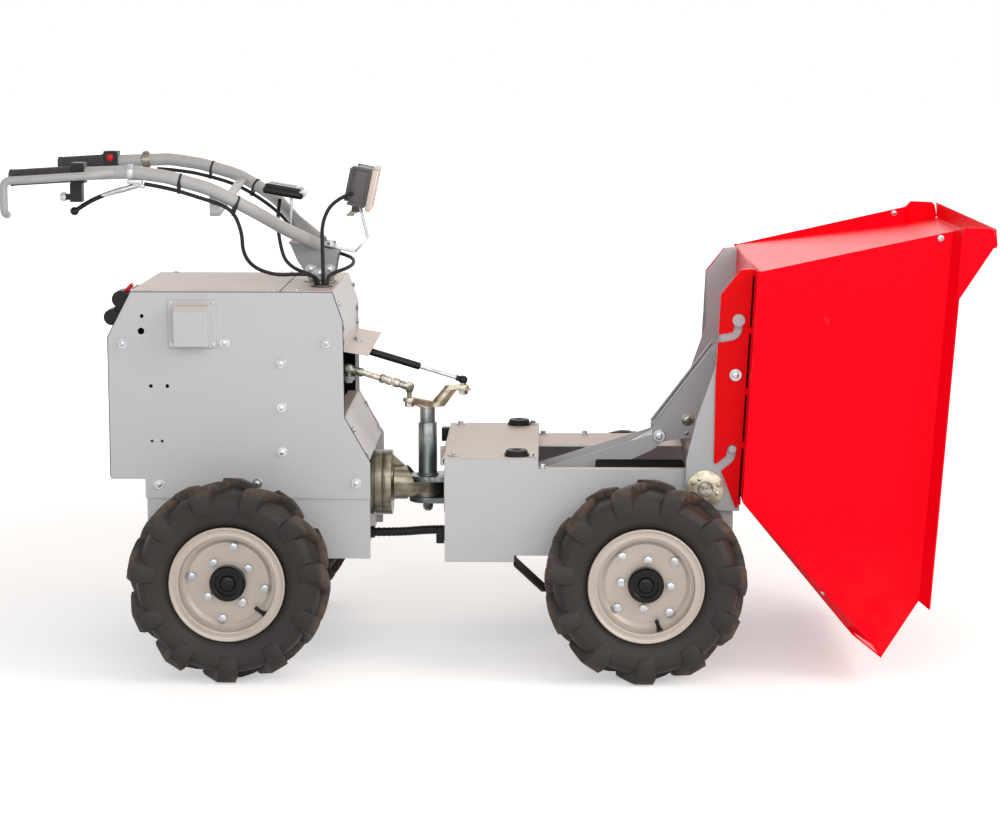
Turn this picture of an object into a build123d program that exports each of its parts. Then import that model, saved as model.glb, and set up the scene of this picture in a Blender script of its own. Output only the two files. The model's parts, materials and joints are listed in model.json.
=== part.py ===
from build123d import *
import math
import os

# Walk-behind articulated site dumper with a front-tipping skip.
# Millimetres. +X is forward, +Y is the machine's left, +Z is up.
# The origin lies on the ground under the middle of the machine.

# ---------------------------------------------------------------- wheels and axles
TYRE_RADIUS = 205.0
TYRE_WIDTH = 108.0
TRACK = 652.0
REAR_AXLE_X = -537.0
WHEELBASE = 845.0
FRONT_AXLE_X = REAR_AXLE_X + WHEELBASE
RIM_SEAT_RADIUS = 103.0
RIM_FLANGE_RADIUS = 117.0
RIM_WIDTH = 92.0
RIM_SHEET = 4.0
HUB_NOSE_RADIUS = 35.0
HUB_RECESS_RADIUS = 25.0
HUB_BOLT_RADIUS = 16.0
HUB_FLANGE_RADIUS = 64.0
STUB_RADIUS = 20.0
AXLE_TUBE_RADIUS = 30.0
AXLE_FLANGE_RADIUS = 52.0
LOBE_RADIUS = 60.0
RUNNING_CLEARANCE = 0.3

# ---------------------------------------------------------------- rear housing
SHEET = 2.5
FOLD_RADIUS = 2.5
REAR_HALF_WIDTH = 200.0
REAR_TOP_Z = 780.0
REAR_BACK_X = -797.0
REAR_TOP_BACK_X = -748.0
REAR_SLOPE_Z = 687.0
REAR_STEP_X = -725.0
REAR_STEP_Z = 390.0
DECK_Z = 350.0
SKIRT_LOW_Z = 223.0
FRONT_LOW_X = -257.0
FRONT_LOW_Z = 426.0
FRONT_MID_X = -310.0
FRONT_MID_Z = 520.0
FRONT_SLOPE_LOW_X = -312.0
FRONT_SLOPE_LOW_Z = 719.0
FRONT_TOP_X = -333.0
LID_SEAM_X = -440.0
SEAM_GAP = 3.0
MOUTH_TOP_Z = 660.0
HOOD_LIP_X = -260.0
HOOD_LIP_Z = 650.0
SWITCH_Y = -40.0
FRAME_PLATE = 4.0
FLANGE_PLATE_X = -280.0
FLANGE_PLATE = 8.0

# ---------------------------------------------------------------- articulation
PIVOT_X = -148.5
LINK_Z = 350.0
FLANGE_RADIUS = 70.0
LINK_TUBE_RADIUS = 37.0
YOKE_LOW = (310.0, 322.0)
YOKE_HIGH = (356.0, 367.0)
YOKE_RADIUS = 40.0
PIN_RADIUS = 16.0
POST_RADIUS = 20.0
POST_TOP_Z = 480.0
ARM_Z = (515.0, 523.0)
NUT_LOW_Z = 292.0
NUT_RADIUS = 26.0

# ---------------------------------------------------------------- front chassis
CHASSIS_HALF_WIDTH = 232.0
CHASSIS_PLATE = 4.0
BOX_BACK_X = -103.0
BOX_FRONT_X = 89.5
BOX_TOP_Z = 440.0
LID_THICKNESS = 3.0
LID_LAP = 6.0
FRONT_DECK_Z = 420.0
CHASSIS_LOW_Z = 224.0

# ---------------------------------------------------------------- tipping gear
TIP_X = 431.5
TIP_Z = 384.0
TIP_ANGLE = 92.9
TIP_PIN_RADIUS = 14.0
ARM_PIN_RADIUS = 12.0
TIP_PLATE = (243.0, 251.0)
RAIL_PLATE = (251.0, 259.0)
ARM_PIVOT = (-80.0, 325.0)
KNEE_PIVOT = (345.0, 459.0)
LEVER_TOP_PIVOT = (470.0, 640.0)
LEVER_ROD_PIVOT = (406.0, 494.0)
ACTUATOR_PIVOT = (-55.0, 248.0)
BARREL_LENGTH = 258.0
DECK_SLOT_Y = (-210.0, 62.0)

# ---------------------------------------------------------------- skip, level, from the tipping pin
# Points are (u, w): u forward and w upward from the tipping pin.
SKIP_SHEET = 3.0
SKIP_BASE_W = 72.0
SKIP_BACK_LOW = (-455.0, SKIP_BASE_W)
SKIP_FRONT_LOW = (12.0, SKIP_BASE_W)
SKIP_CHAMFER_END = (286.0, 350.0)
SKIP_FLOOR_FOLD = (262.0, 299.0)
SKIP_LIP = (313.0, 370.0)
SKIP_MOUTH_FRONT = (190.0, 437.0)
SKIP_MOUTH_BACK = (-558.0, 448.0)
SKIP_WALL_TOP = (-535.0, 528.0)
SKIP_WALL_HEM = (-569.0, 523.0)
SKIP_BASE_HALF = 324.0
SKIP_MOUTH_HALF = 345.0
SKIP_CHAMFER = 40.0
SKIP_FLANGE_OUT = 41.0
SKIP_FLANGE_UP = 16.0
SKIP_WING = [(-560, 459), (-569, 466), (-569.5, 514), (-564, 521), (-539, 528), (-531, 523), (-421, 460)]
WING_HALF = SKIP_MOUTH_HALF + SKIP_FLANGE_OUT
RAIL_GAP = 4.0
TACK_U = (-447.0, -330.0, -205.0, -95.0, 22.0)
TIP_CHANNEL_U = (-232.0, -192.0)
TIP_CHANNEL_W = 57.5
UPPER_HOOK = [(-350, 45), (-318, 45), (-307, -8)]
LOWER_HOOK = [(-86, 49), (-66, 46), (-36, 12)]
UPPER_HOOK_WIDTH = 17.0
LOWER_HOOK_WIDTH = 19.0
HOOK_PIN_RADIUS = 7.5
HOOK_HEAD_RADIUS = 12.5

# ---------------------------------------------------------------- steering
COLUMN_X = -376.0
COLUMN_RADIUS = 22.0
COVER_TOP_Z = REAR_TOP_Z + SHEET
GRIP_HALF = 253.0
HANDLE_RADIUS = 13.5
HANDLE_BEND = 160.0
GRIP_WALL = 3.0
GRIP_RADIUS = HANDLE_RADIUS + GRIP_WALL
GUARD_OUT = 44.0
GRIP_FRONT_X = {-1: -850.0, 1: -874.0}
ROD_REAR = (-311.0, -78.0, 606.0)
CRANK_Z = (582.0, 590.0)
ROD_FRONT = (-184.0, -58.0, 565.0)
STRUT_REAR = (-298.0, 0.0, 641.0)
STRUT_FRONT = (-72.0, 0.0, 572.0)
HEAD_TOP = ((-437.0, 870.0), (-333.0, 851.0))
GROMMET = (-362.0, -110.0)
GROMMET_RADIUS = 20.0
GROMMET_TOP_Z = COVER_TOP_Z + 3.0
CONDUIT_RADIUS = 10.0


def block(x, y, z):
    """Box between the two ends given on each axis."""
    size = (x[1] - x[0], y[1] - y[0], z[1] - z[0])
    return Pos((x[0] + x[1]) / 2, (y[0] + y[1]) / 2, (z[0] + z[1]) / 2) * Box(*size)


def pin_x(y, z, radius, x):
    return Pos((x[0] + x[1]) / 2, y, z) * Cylinder(radius, x[1] - x[0], rotation=(0, 90, 0))


def pin_y(x, z, radius, y):
    return Pos(x, (y[0] + y[1]) / 2, z) * Cylinder(radius, y[1] - y[0], rotation=(90, 0, 0))


def pin_z(x, y, radius, z):
    return Pos(x, y, (z[0] + z[1]) / 2) * Cylinder(radius, z[1] - z[0])


def side_profile(outline, y):
    """Outline of (x, z) points, swept across from y[0] to y[1]."""
    face = Plane.XZ.offset(-y[1]) * make_face(Polyline(*outline, close=True))
    return extrude(face, amount=y[1] - y[0], dir=(0, -1, 0))


def end_profile(outline, x):
    """Outline of (y, z) points, swept forward from x[0] to x[1]."""
    face = Plane.YZ.offset(x[0]) * make_face(Polyline(*outline, close=True))
    return extrude(face, amount=x[1] - x[0], dir=(1, 0, 0))


def offset_line(points, distance):
    """The same line moved to the right of the walk, corner by corner."""
    moved = []
    for i, point in enumerate(points):
        normals = []
        for a, b in zip(points[max(i - 1, 0):i + 1], points[i:i + 2] if i else points[1:2]):
            run = math.dist(a, b)
            normals.append(((b[1] - a[1]) / run, (a[0] - b[0]) / run))
        nx = sum(n[0] for n in normals) / len(normals)
        nz = sum(n[1] for n in normals) / len(normals)
        scale = distance / (nx * nx + nz * nz)
        moved.append((point[0] + nx * scale, point[1] + nz * scale))
    return moved


def turns_right(a, b, c):
    return (b[0] - a[0]) * (c[1] - b[1]) < (b[1] - a[1]) * (c[0] - b[0])


def folded_line(points, radii):
    return FilletPolyline(*points, radius=radii) if radii else Polyline(*points)


def bent_sheet(points, thickness, y):
    """Folded sheet: its outer line of (x, z) points and its thickness to the right of the walk."""
    inner = offset_line(points, thickness)
    right = [turns_right(*points[i:i + 3]) for i in range(len(points) - 2)]
    near = folded_line(points, [FOLD_RADIUS + (thickness if turn else 0) for turn in right])
    far = folded_line(inner, [FOLD_RADIUS + (0 if turn else thickness) for turn in right])
    ends = [Line(points[0], inner[0]), Line(points[-1], inner[-1])]
    face = Plane.XZ.offset(-y[1]) * make_face(Curve() + [near, far] + ends)
    return extrude(face, amount=y[1] - y[0], dir=(0, -1, 0))


def mirrored(solid):
    return mirror(solid, about=Plane.XZ)


def round_tube(points, radius, radii):
    """Round bar along straight runs joined by arcs."""
    path = FilletPolyline(*points, radius=radii) if radii else Polyline(*points)
    start = Plane(origin=path @ 0, z_dir=path % 0)
    return sweep(start * Circle(radius), path=path)


def eased_radii(points, largest):
    """Radius for each corner: as large as the shorter of its two runs leaves room for."""
    radii = []
    for a, b, c in zip(points, points[1:], points[2:]):
        turn = math.radians((Vector(*b) - Vector(*a)).get_angle(Vector(*c) - Vector(*b)))
        room = 0.45 * min(math.dist(a, b), math.dist(b, c))
        radii.append(min(room / math.tan(turn / 2), largest))
    return radii


# ---------------------------------------------------------------- wheels
def wheel_place(axle_x, side):
    """side is -1 for the right wheel and 1 for the left; local +Z of a wheel points outboard."""
    turn = 90 if side < 0 else -90
    return Pos(axle_x, side * TRACK / 2, TYRE_RADIUS) * Rot(turn, 0, 0)


def turned(outline):
    """Outline of (radius, outboard) points, turned about the wheel's own axis."""
    return revolve(Plane.XZ * make_face(Polyline(*outline, close=True)), axis=Axis.Z)


def make_tyre():
    half = TYRE_WIDTH / 2
    bead = RIM_WIDTH / 2 - RIM_SHEET - 0.3
    seat = RIM_SEAT_RADIUS + 0.2
    flank = RIM_FLANGE_RADIUS + 2
    right = [(seat, bead), (flank, bead), (145, half - 1), (165, half), (185, half - 2), (198, half - 9),
             (TYRE_RADIUS, half - 22)]
    return turned(right + [(radius, -out) for radius, out in reversed(right)])


def make_wheel():
    """Rim barrel, its dished disc, and the hub that turns on the stub shaft."""
    half = RIM_WIDTH / 2
    inside = RIM_SEAT_RADIUS - RIM_SHEET
    barrel = [(RIM_SEAT_RADIUS, -half + RIM_SHEET), (RIM_SEAT_RADIUS, half - RIM_SHEET),
              (RIM_FLANGE_RADIUS, half - RIM_SHEET), (RIM_FLANGE_RADIUS, half), (inside, half),
              (inside, -half), (RIM_FLANGE_RADIUS, -half), (RIM_FLANGE_RADIUS, -half + RIM_SHEET)]
    disc = [(HUB_NOSE_RADIUS, 16), (HUB_NOSE_RADIUS, 20), (82, 20), (90, 26), (inside, 26), (inside, 22),
            (92, 22), (84, 16)]
    bore = STUB_RADIUS + RUNNING_CLEARANCE
    hub = [(bore, -40), (38, -40), (38, 4), (HUB_FLANGE_RADIUS, 4), (HUB_FLANGE_RADIUS, 16),
           (HUB_NOSE_RADIUS, 16), (HUB_NOSE_RADIUS, 38), (HUB_NOSE_RADIUS - 3, 41),
           (HUB_RECESS_RADIUS + 2, 41), (HUB_RECESS_RADIUS, 32), (HUB_BOLT_RADIUS, 32),
           (HUB_BOLT_RADIUS, 37), (HUB_BOLT_RADIUS - 6, 41), (0, 41), (0, 15), (bore, 15)]
    return turned(barrel) + turned(disc) + turned(hub)


def make_axle(axle_x, half_frame):
    """Gearbox, axle tubes, the flanges that bolt to the frame's sides, and the stub shafts."""
    axle = block((axle_x - 75, axle_x + 75), (-85, 85), (TYRE_RADIUS - 72, TYRE_RADIUS + 50))
    axle += pin_y(axle_x, TYRE_RADIUS, AXLE_TUBE_RADIUS, (-284, 284))
    for side in (-1, 1):
        inner, outer = sorted((side * half_frame, side * (half_frame + 8)))
        axle += pin_y(axle_x, TYRE_RADIUS, AXLE_FLANGE_RADIUS, (inner, outer))
        start, end = sorted((side * 284, side * (TRACK / 2 + 14)))
        axle += pin_y(axle_x, TYRE_RADIUS, STUB_RADIUS, (start, end))
    return axle


def axle_eye(solid, axle_x, y):
    """Adds the lobe that carries an axle to a side plate, and bores it."""
    lobe = pin_y(axle_x, TYRE_RADIUS, LOBE_RADIUS, y)
    lobe += block((axle_x - LOBE_RADIUS, axle_x + LOBE_RADIUS), y, (TYRE_RADIUS, TYRE_RADIUS + LOBE_RADIUS))
    return solid + lobe


# ---------------------------------------------------------------- rear body
def make_rear_frame():
    back = REAR_STEP_X + SHEET
    outer = REAR_HALF_WIDTH - SHEET
    inner = outer - FRAME_PLATE
    front, top = FRONT_LOW_X - 2, FRONT_LOW_Z - 2
    side = side_profile([(back, SKIRT_LOW_Z), (front, SKIRT_LOW_Z), (front, top), (FLANGE_PLATE_X, top),
                         (FLANGE_PLATE_X, 395), (back, 395)], (-outer, -inner))
    side = axle_eye(side, REAR_AXLE_X, (-outer, -inner))
    frame = side + mirrored(side)
    frame += block((back, FLANGE_PLATE_X), (-inner, inner), (DECK_Z - FRAME_PLATE, DECK_Z))
    frame += block((back, back + FRAME_PLATE), (-inner, inner), (SKIRT_LOW_Z, DECK_Z))
    frame += block((FLANGE_PLATE_X, FLANGE_PLATE_X + FLANGE_PLATE), (-inner, inner), (SKIRT_LOW_Z, top))
    frame -= pin_y(REAR_AXLE_X, TYRE_RADIUS, AXLE_TUBE_RADIUS + 0.2, (-outer - 1, outer + 1))
    return frame


def side_outline():
    return [(REAR_TOP_BACK_X, REAR_TOP_Z), (REAR_BACK_X, REAR_SLOPE_Z), (REAR_BACK_X, REAR_STEP_Z),
            (REAR_STEP_X, REAR_STEP_Z), (REAR_STEP_X, DECK_Z), (FRONT_LOW_X, DECK_Z),
            (FRONT_LOW_X, FRONT_LOW_Z), (FRONT_MID_X, FRONT_MID_Z),
            (FRONT_SLOPE_LOW_X, FRONT_SLOPE_LOW_Z), (FRONT_TOP_X, REAR_TOP_Z)]


# Holes in the right side panel: x, z, radius.
PANEL_HOLES = [(-725.5, 730, 4), (-727.5, 699, 7), (-709.5, 585, 4), (-675.5, 585, 4), (-709.5, 470, 3),
               (-688.5, 470, 3)]


def make_rear_side():
    panel = side_profile(side_outline(), (-REAR_HALF_WIDTH, SHEET - REAR_HALF_WIDTH))
    corner = panel.edges().filter_by(Axis.Y).sort_by_distance((FRONT_TOP_X, -REAR_HALF_WIDTH, REAR_TOP_Z))[0]
    return fillet(corner, FOLD_RADIUS)


def make_drilled_side():
    panel = make_rear_side()
    for x, z, radius in PANEL_HOLES:
        panel -= pin_y(x, z, radius, (-REAR_HALF_WIDTH - 1, -REAR_HALF_WIDTH + SHEET + 1))
    return panel


def make_rear_back():
    inside = REAR_HALF_WIDTH - SHEET
    walk = [(REAR_STEP_X, DECK_Z), (REAR_STEP_X, REAR_STEP_Z), (REAR_BACK_X, REAR_STEP_Z),
            (REAR_BACK_X, REAR_SLOPE_Z), (REAR_TOP_BACK_X, REAR_TOP_Z)]
    return bent_sheet(walk, SHEET, (-inside, inside)) & block((-900, 0), (-300, 300), (0, REAR_TOP_Z))


def make_top_lid():
    x = (REAR_TOP_BACK_X, LID_SEAM_X - SEAM_GAP / 2)
    return block(x, (-REAR_HALF_WIDTH, REAR_HALF_WIDTH), (REAR_TOP_Z, COVER_TOP_Z))


def make_front_cover():
    walk = [(FRONT_SLOPE_LOW_X, FRONT_SLOPE_LOW_Z), (FRONT_TOP_X, REAR_TOP_Z),
            (LID_SEAM_X + SEAM_GAP / 2, REAR_TOP_Z)]
    cover = bent_sheet(walk, SHEET, (-REAR_HALF_WIDTH, REAR_HALF_WIDTH))
    cover -= pin_z(COLUMN_X, 0, 34, (REAR_TOP_Z - 5, REAR_TOP_Z + 5))
    return cover + pin_z(*GROMMET, GROMMET_RADIUS, (REAR_TOP_Z, GROMMET_TOP_Z))


def make_front_panel():
    """Upright panel under the sloping cover, folded out into a hood over the mouth."""
    inside = REAR_HALF_WIDTH - SHEET
    x = FRONT_SLOPE_LOW_X - SHEET
    walk = [(x, FRONT_SLOPE_LOW_Z - 3), (x, MOUTH_TOP_Z), (HOOD_LIP_X, HOOD_LIP_Z)]
    return bent_sheet(walk, SHEET, (-inside, inside))


def make_lower_panel():
    inside = REAR_HALF_WIDTH - SHEET
    walk = [(-335, FRONT_MID_Z), (FRONT_MID_X, FRONT_MID_Z), (FRONT_LOW_X - 4, FRONT_LOW_Z)]
    low = bent_sheet(walk, SHEET, (-inside, inside))
    return low & block((-400, 0), (-300, 300), (FRONT_LOW_Z - 2, 600))


def make_battery():
    return block((-700, -440), (-150, 150), (DECK_Z, 600))


def make_column_support():
    inside = REAR_HALF_WIDTH - SHEET
    plate = block((-430, -318), (-inside, inside), (664, 670))
    tube = pin_z(COLUMN_X, 0, 30, (640, COVER_TOP_Z + 2))
    return plate + tube - pin_z(COLUMN_X, 0, COLUMN_RADIUS + RUNNING_CLEARANCE, (600, 800))


def make_socket_box():
    """Flange plate with a hood whose top slopes outward."""
    skin = -REAR_HALF_WIDTH
    hood = [(skin - 1, 670), (skin - 30, 670), (skin - 30, 741), (skin - 22, 753), (skin - 1, 753)]
    return block((-672, -572), (skin - 1.5, skin), (664, 764)) + end_profile(hood, (-657, -587))


def make_main_switch():
    """Isolator on the sloping back: a plate, two round lobes, and its lever at the top."""
    tilt = math.degrees(math.atan2(REAR_TOP_BACK_X - REAR_BACK_X, REAR_TOP_Z - REAR_SLOPE_Z))
    middle = ((REAR_BACK_X + REAR_TOP_BACK_X) / 2, (REAR_SLOPE_Z + REAR_TOP_Z) / 2)
    plate = Pos(middle[0], SWITCH_Y, middle[1]) * Rot(0, tilt, 0) * (Pos(-6, 0, 0) * Box(12, 64, 84))
    width = (SWITCH_Y - 26, SWITCH_Y + 26)
    lobes = pin_y(-792, 750, 18, width) + pin_y(-811, 712, 17, width)
    neck = side_profile([(-788, 760), (-812, 722), (-798, 700), (-775, 744)], (SWITCH_Y - 22, SWITCH_Y + 22))
    lever = side_profile([(-790, 762), (-783, 757), (-768, 777), (-772, 782)], (SWITCH_Y - 9, SWITCH_Y + 9))
    body = plate + lobes + neck + lever
    housing = [(REAR_BACK_X, REAR_SLOPE_Z), (REAR_TOP_BACK_X, REAR_TOP_Z), (REAR_STEP_X, REAR_SLOPE_Z)]
    return body - side_profile(housing, (-REAR_HALF_WIDTH, REAR_HALF_WIDTH))


def make_pivot_flange():
    plate = pin_x(0, LINK_Z, FLANGE_RADIUS, (-272, -261.5))
    plate += pin_x(0, LINK_Z, FLANGE_RADIUS - 4, (-261.5, -260))
    return plate + pin_x(0, LINK_Z, FLANGE_RADIUS, (-260, -243))


def make_pivot_link():
    link = pin_x(0, LINK_Z, FLANGE_RADIUS, (-243, -224))
    link += pin_x(0, LINK_Z, LINK_TUBE_RADIUS, (-224, PIVOT_X))
    eye = pin_z(PIVOT_X, 0, LINK_TUBE_RADIUS, (YOKE_LOW[1] + 0.3, YOKE_HIGH[0] - 0.3))
    relief = YOKE_RADIUS + 6
    link -= pin_z(PIVOT_X, 0, relief, (YOKE_HIGH[0] - 0.3, 420))
    link -= pin_z(PIVOT_X, 0, relief, (280, YOKE_LOW[1] + 0.3))
    gusset = [(-225, LINK_Z + 30), (-225, LINK_Z + 62), (-197, LINK_Z + 36), (-197, LINK_Z + 30)]
    link += eye + side_profile(gusset, (-4, 4))
    return link - pin_z(PIVOT_X, 0, PIN_RADIUS + RUNNING_CLEARANCE, (280, 420))


# ---------------------------------------------------------------- front body
def both_sides(solid):
    return solid + mirrored(solid)


def hoist_bracket():
    """Ears inside the box that carry the hoist arm and the actuator."""
    inside = BOX_BACK_X + CHASSIS_PLATE
    floor = CHASSIS_LOW_Z + CHASSIS_PLATE
    arm_ear = block((inside, ARM_PIVOT[0] + 20), (62, 70), (floor, ARM_PIVOT[1] + 22))
    arm_ear -= pin_y(*ARM_PIVOT, ARM_PIN_RADIUS + RUNNING_CLEARANCE, (50, 80))
    foot_ear = block((inside, ACTUATOR_PIVOT[0] + 18), (13, 20), (floor, ACTUATOR_PIVOT[1] + 18))
    return both_sides(arm_ear) + both_sides(foot_ear) + pin_y(*ACTUATOR_PIVOT, 6, (-20, 20))


def make_front_chassis():
    outer = CHASSIS_HALF_WIDTH
    inner = outer - CHASSIS_PLATE
    side = side_profile([(BOX_BACK_X, CHASSIS_LOW_Z), (40, CHASSIS_LOW_Z), (40, 238), (450, 238), (490, 285),
                         (490, 345), (465, 420), (BOX_FRONT_X, FRONT_DECK_Z), (BOX_FRONT_X, BOX_TOP_Z),
                         (BOX_BACK_X, BOX_TOP_Z)], (-outer, -inner))
    side = axle_eye(side, FRONT_AXLE_X, (-outer, -inner))
    side += pin_y(TIP_X, TIP_Z, 30, (-TIP_PLATE[0] + 0.3, -inner))
    side += pin_y(TIP_X, TIP_Z, TIP_PIN_RADIUS, (-264, -inner))
    frame = side + mirrored(side)
    frame += block((BOX_BACK_X, BOX_BACK_X + 4), (-inner, inner), (CHASSIS_LOW_Z, BOX_TOP_Z))
    frame += block((BOX_BACK_X, 40), (-inner, inner), (CHASSIS_LOW_Z, CHASSIS_LOW_Z + 4))
    frame += block((BOX_FRONT_X - SHEET, BOX_FRONT_X), (-inner, inner), (FRONT_DECK_Z - 3, BOX_TOP_Z))
    frame += block((BOX_FRONT_X - SHEET, 400), (DECK_SLOT_Y[1], inner), (FRONT_DECK_Z - 3, FRONT_DECK_Z))
    frame += block((BOX_FRONT_X - SHEET, 400), (-inner, DECK_SLOT_Y[0]), (FRONT_DECK_Z - 3, FRONT_DECK_Z))
    frame += hoist_bracket()
    frame += pin_y(TIP_X, TIP_Z, 24, (-inner, inner))
    frame -= pin_y(FRONT_AXLE_X, TYRE_RADIUS, AXLE_TUBE_RADIUS + 0.2, (-outer - 1, outer + 1))
    return frame


def make_box_lid():
    """Flat lid with its rear edge folded down behind the box."""
    outer = BOX_TOP_Z + LID_THICKNESS
    walk = [(BOX_BACK_X - LID_LAP, BOX_TOP_Z - 16), (BOX_BACK_X - LID_LAP, outer), (BOX_FRONT_X, outer)]
    return bent_sheet(walk, LID_THICKNESS, (-CHASSIS_HALF_WIDTH, CHASSIS_HALF_WIDTH))


def make_pads():
    top = TIP_Z + SKIP_BASE_W - 0.5
    return [pin_z(45, side * 205, 25, (BOX_TOP_Z + LID_THICKNESS, top)) for side in (-1, 1)]


def make_yoke():
    """Two plates welded to the box, and the post tube that stands on the upper one."""
    yoke = None
    for z in (YOKE_LOW, YOKE_HIGH):
        plate = pin_z(PIVOT_X, 0, YOKE_RADIUS, z)
        plate += block((PIVOT_X, BOX_BACK_X), (-YOKE_RADIUS, YOKE_RADIUS), z)
        yoke = plate if yoke is None else yoke + plate
    yoke += block((BOX_BACK_X - 8, BOX_BACK_X), (-80, 80), (300, 390))
    yoke += pin_z(PIVOT_X, 0, POST_RADIUS, (YOKE_HIGH[1], POST_TOP_Z))
    return yoke - pin_z(PIVOT_X, 0, PIN_RADIUS, (300, 500))


def bar_between(start, end, width, z):
    """Flat bar with its middle line between two (x, y) points."""
    dx, dy = end[0] - start[0], end[1] - start[1]
    middle = Pos((start[0] + end[0]) / 2, (start[1] + end[1]) / 2, (z[0] + z[1]) / 2)
    return middle * Rot(0, 0, math.degrees(math.atan2(dy, dx))) * Box(math.hypot(dx, dy), width, z[1] - z[0])


def make_steering_arm():
    """Pivot pin with its nut, and the two-way arm keyed on its top."""
    low, high = ARM_Z
    nut = Pos(PIVOT_X, 0, NUT_LOW_Z) * extrude(RegularPolygon(NUT_RADIUS, 6), amount=YOKE_LOW[0] - NUT_LOW_Z)
    arm = pin_z(PIVOT_X, 0, PIN_RADIUS, (NUT_LOW_Z - 6, high)) + nut
    arm += pin_z(PIVOT_X, 0, 24, ARM_Z)
    lug = (534, 542)
    arm += bar_between((PIVOT_X, 0), (-172, -38), 28, ARM_Z)
    arm += bar_between((-166, -28), ROD_FRONT[:2], 26, lug)
    arm += bar_between((-165, -28), (-173, -40), 27, (low, lug[1]))
    arm += pin_z(*ROD_FRONT[:2], 13, lug)
    arm += bent_sheet([(PIVOT_X, high), (-128, high), (-96, 561), (-72, 561)], 8, (-13, 13))
    return arm + pin_z(-72, 0, 13, (553, 561))


def make_skid_guard():
    walk = [(42, 236), (42, 177), (105, 118)]
    guard = bent_sheet(walk, 6, (-40, 40))
    return guard & block((0, 200), (-100, 100), (118, CHASSIS_LOW_Z))


def make_control_box():
    return block((210, 396), (CHASSIS_PLATE - CHASSIS_HALF_WIDTH, -62), (300, 412))


# ---------------------------------------------------------------- tipping body
# The skip is drawn level, with the tipping pin as its origin, then turned into the tipped pose.
def tipped(solid):
    return Pos(TIP_X, 0, TIP_Z) * Rot(0, TIP_ANGLE, 0) * solid


def skip_half_at(w):
    rise = (w - SKIP_BASE_W) / (SKIP_MOUTH_BACK[1] - SKIP_BASE_W)
    return SKIP_BASE_HALF + (SKIP_MOUTH_HALF - SKIP_BASE_HALF) * rise


def skip_section(inset):
    """Section of the skip across the machine, inset from its outer faces."""
    low, high = SKIP_BASE_W - 20, SKIP_WALL_TOP[1] + 40
    a, b = skip_half_at(low) - inset, skip_half_at(high) - inset
    return [(-a, low), (a, low), (b, high), (-b, high)]


def wall_section():
    """Section of the rear wall, which spreads out over the side flanges to meet the wings."""
    low, fold, high = SKIP_BASE_W - 20, SKIP_MOUTH_BACK[1] + 4, SKIP_WALL_TOP[1] + 40
    wing = WING_HALF - SKIP_SHEET - 0.2
    half = [(skip_half_at(low) - SKIP_SHEET, low), (skip_half_at(fold) - SKIP_SHEET, fold),
            (wing, fold + SKIP_FLANGE_UP), (wing, high)]
    return half + [(-y, w) for y, w in reversed(half)]


def skip_plan():
    """Plan of the shell, waisted where the chamfers narrow the sloping floor."""
    start, waist, end = SKIP_FRONT_LOW[0], SKIP_FLOOR_FOLD[0], SKIP_CHAMFER_END[0]
    wide = WING_HALF + 20
    half = [(-700, wide), (start, wide), (start, SKIP_BASE_HALF - 1.5),
            (waist, skip_half_at(SKIP_FLOOR_FOLD[1]) - SKIP_CHAMFER - 1.5), (end, wide), (400, wide)]
    return half + [(u, -y) for u, y in reversed(half)]


def make_skip_shell():
    """Lip, sloping floor, base and rear wall folded from one sheet, with a hem on the wall's top."""
    walk = [SKIP_LIP, SKIP_FLOOR_FOLD, SKIP_FRONT_LOW, SKIP_BACK_LOW, SKIP_WALL_TOP, SKIP_WALL_HEM]
    sheet = bent_sheet(walk, SKIP_SHEET, (-WING_HALF, WING_HALF)) & end_profile(wall_section(), (-700, 500))
    sheet &= extrude(make_face(Polyline(*skip_plan(), close=True)), amount=600)
    side = make_skip_side()
    return tipped(sheet - side - mirrored(side))


def plate_on(corners, direction):
    """Flat plate with its outer face on the corners given and its thickness in a direction."""
    return extrude(make_face(Polyline(*corners, close=True)), amount=SKIP_SHEET, dir=direction)


def make_skip_side():
    """Side sheet with the chamfer at its foot, its outward flange, and the wing on the flange."""
    outline = [SKIP_BACK_LOW, SKIP_FRONT_LOW, SKIP_CHAMFER_END, SKIP_LIP, SKIP_MOUTH_FRONT, SKIP_MOUTH_BACK]
    slab = end_profile(skip_section(0), (-700, 500)) - end_profile(skip_section(SKIP_SHEET), (-701, 501))
    sheet = side_profile(outline, (-400, -250)) & slab
    foot = [(u, inset - skip_half_at(w), w) for (u, w), inset in
            ((SKIP_FRONT_LOW, 0), (SKIP_FLOOR_FOLD, SKIP_CHAMFER), (SKIP_CHAMFER_END, 0))]
    sheet += plate_on(foot, (-0.637, 0.398, 0.659))
    back, front = (Vector(u, 1 - skip_half_at(w), w - 0.5) for u, w in (SKIP_MOUTH_BACK, SKIP_MOUTH_FRONT))
    out = Vector(0, -SKIP_FLANGE_OUT, SKIP_FLANGE_UP)
    lean = (front - back).normalized() * 8
    sheet += plate_on([back, back + out - lean, front + out + lean, front], (0, 0.364, 0.931))
    return sheet + side_profile(SKIP_WING, (-WING_HALF, SKIP_SHEET - WING_HALF))


def hook_slot(points, width):
    """Rounded slot in a rail: from the pin's seat, round a bend and out through the rail's edge."""
    path = FilletPolyline(*points, radius=width)
    face = Plane.XZ.offset(RAIL_PLATE[1] + 1) * make_face(path.wire().offset_2d(width / 2))
    return extrude(face, amount=RAIL_PLATE[1] - RAIL_PLATE[0] + 2, dir=(0, 1, 0))


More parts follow.
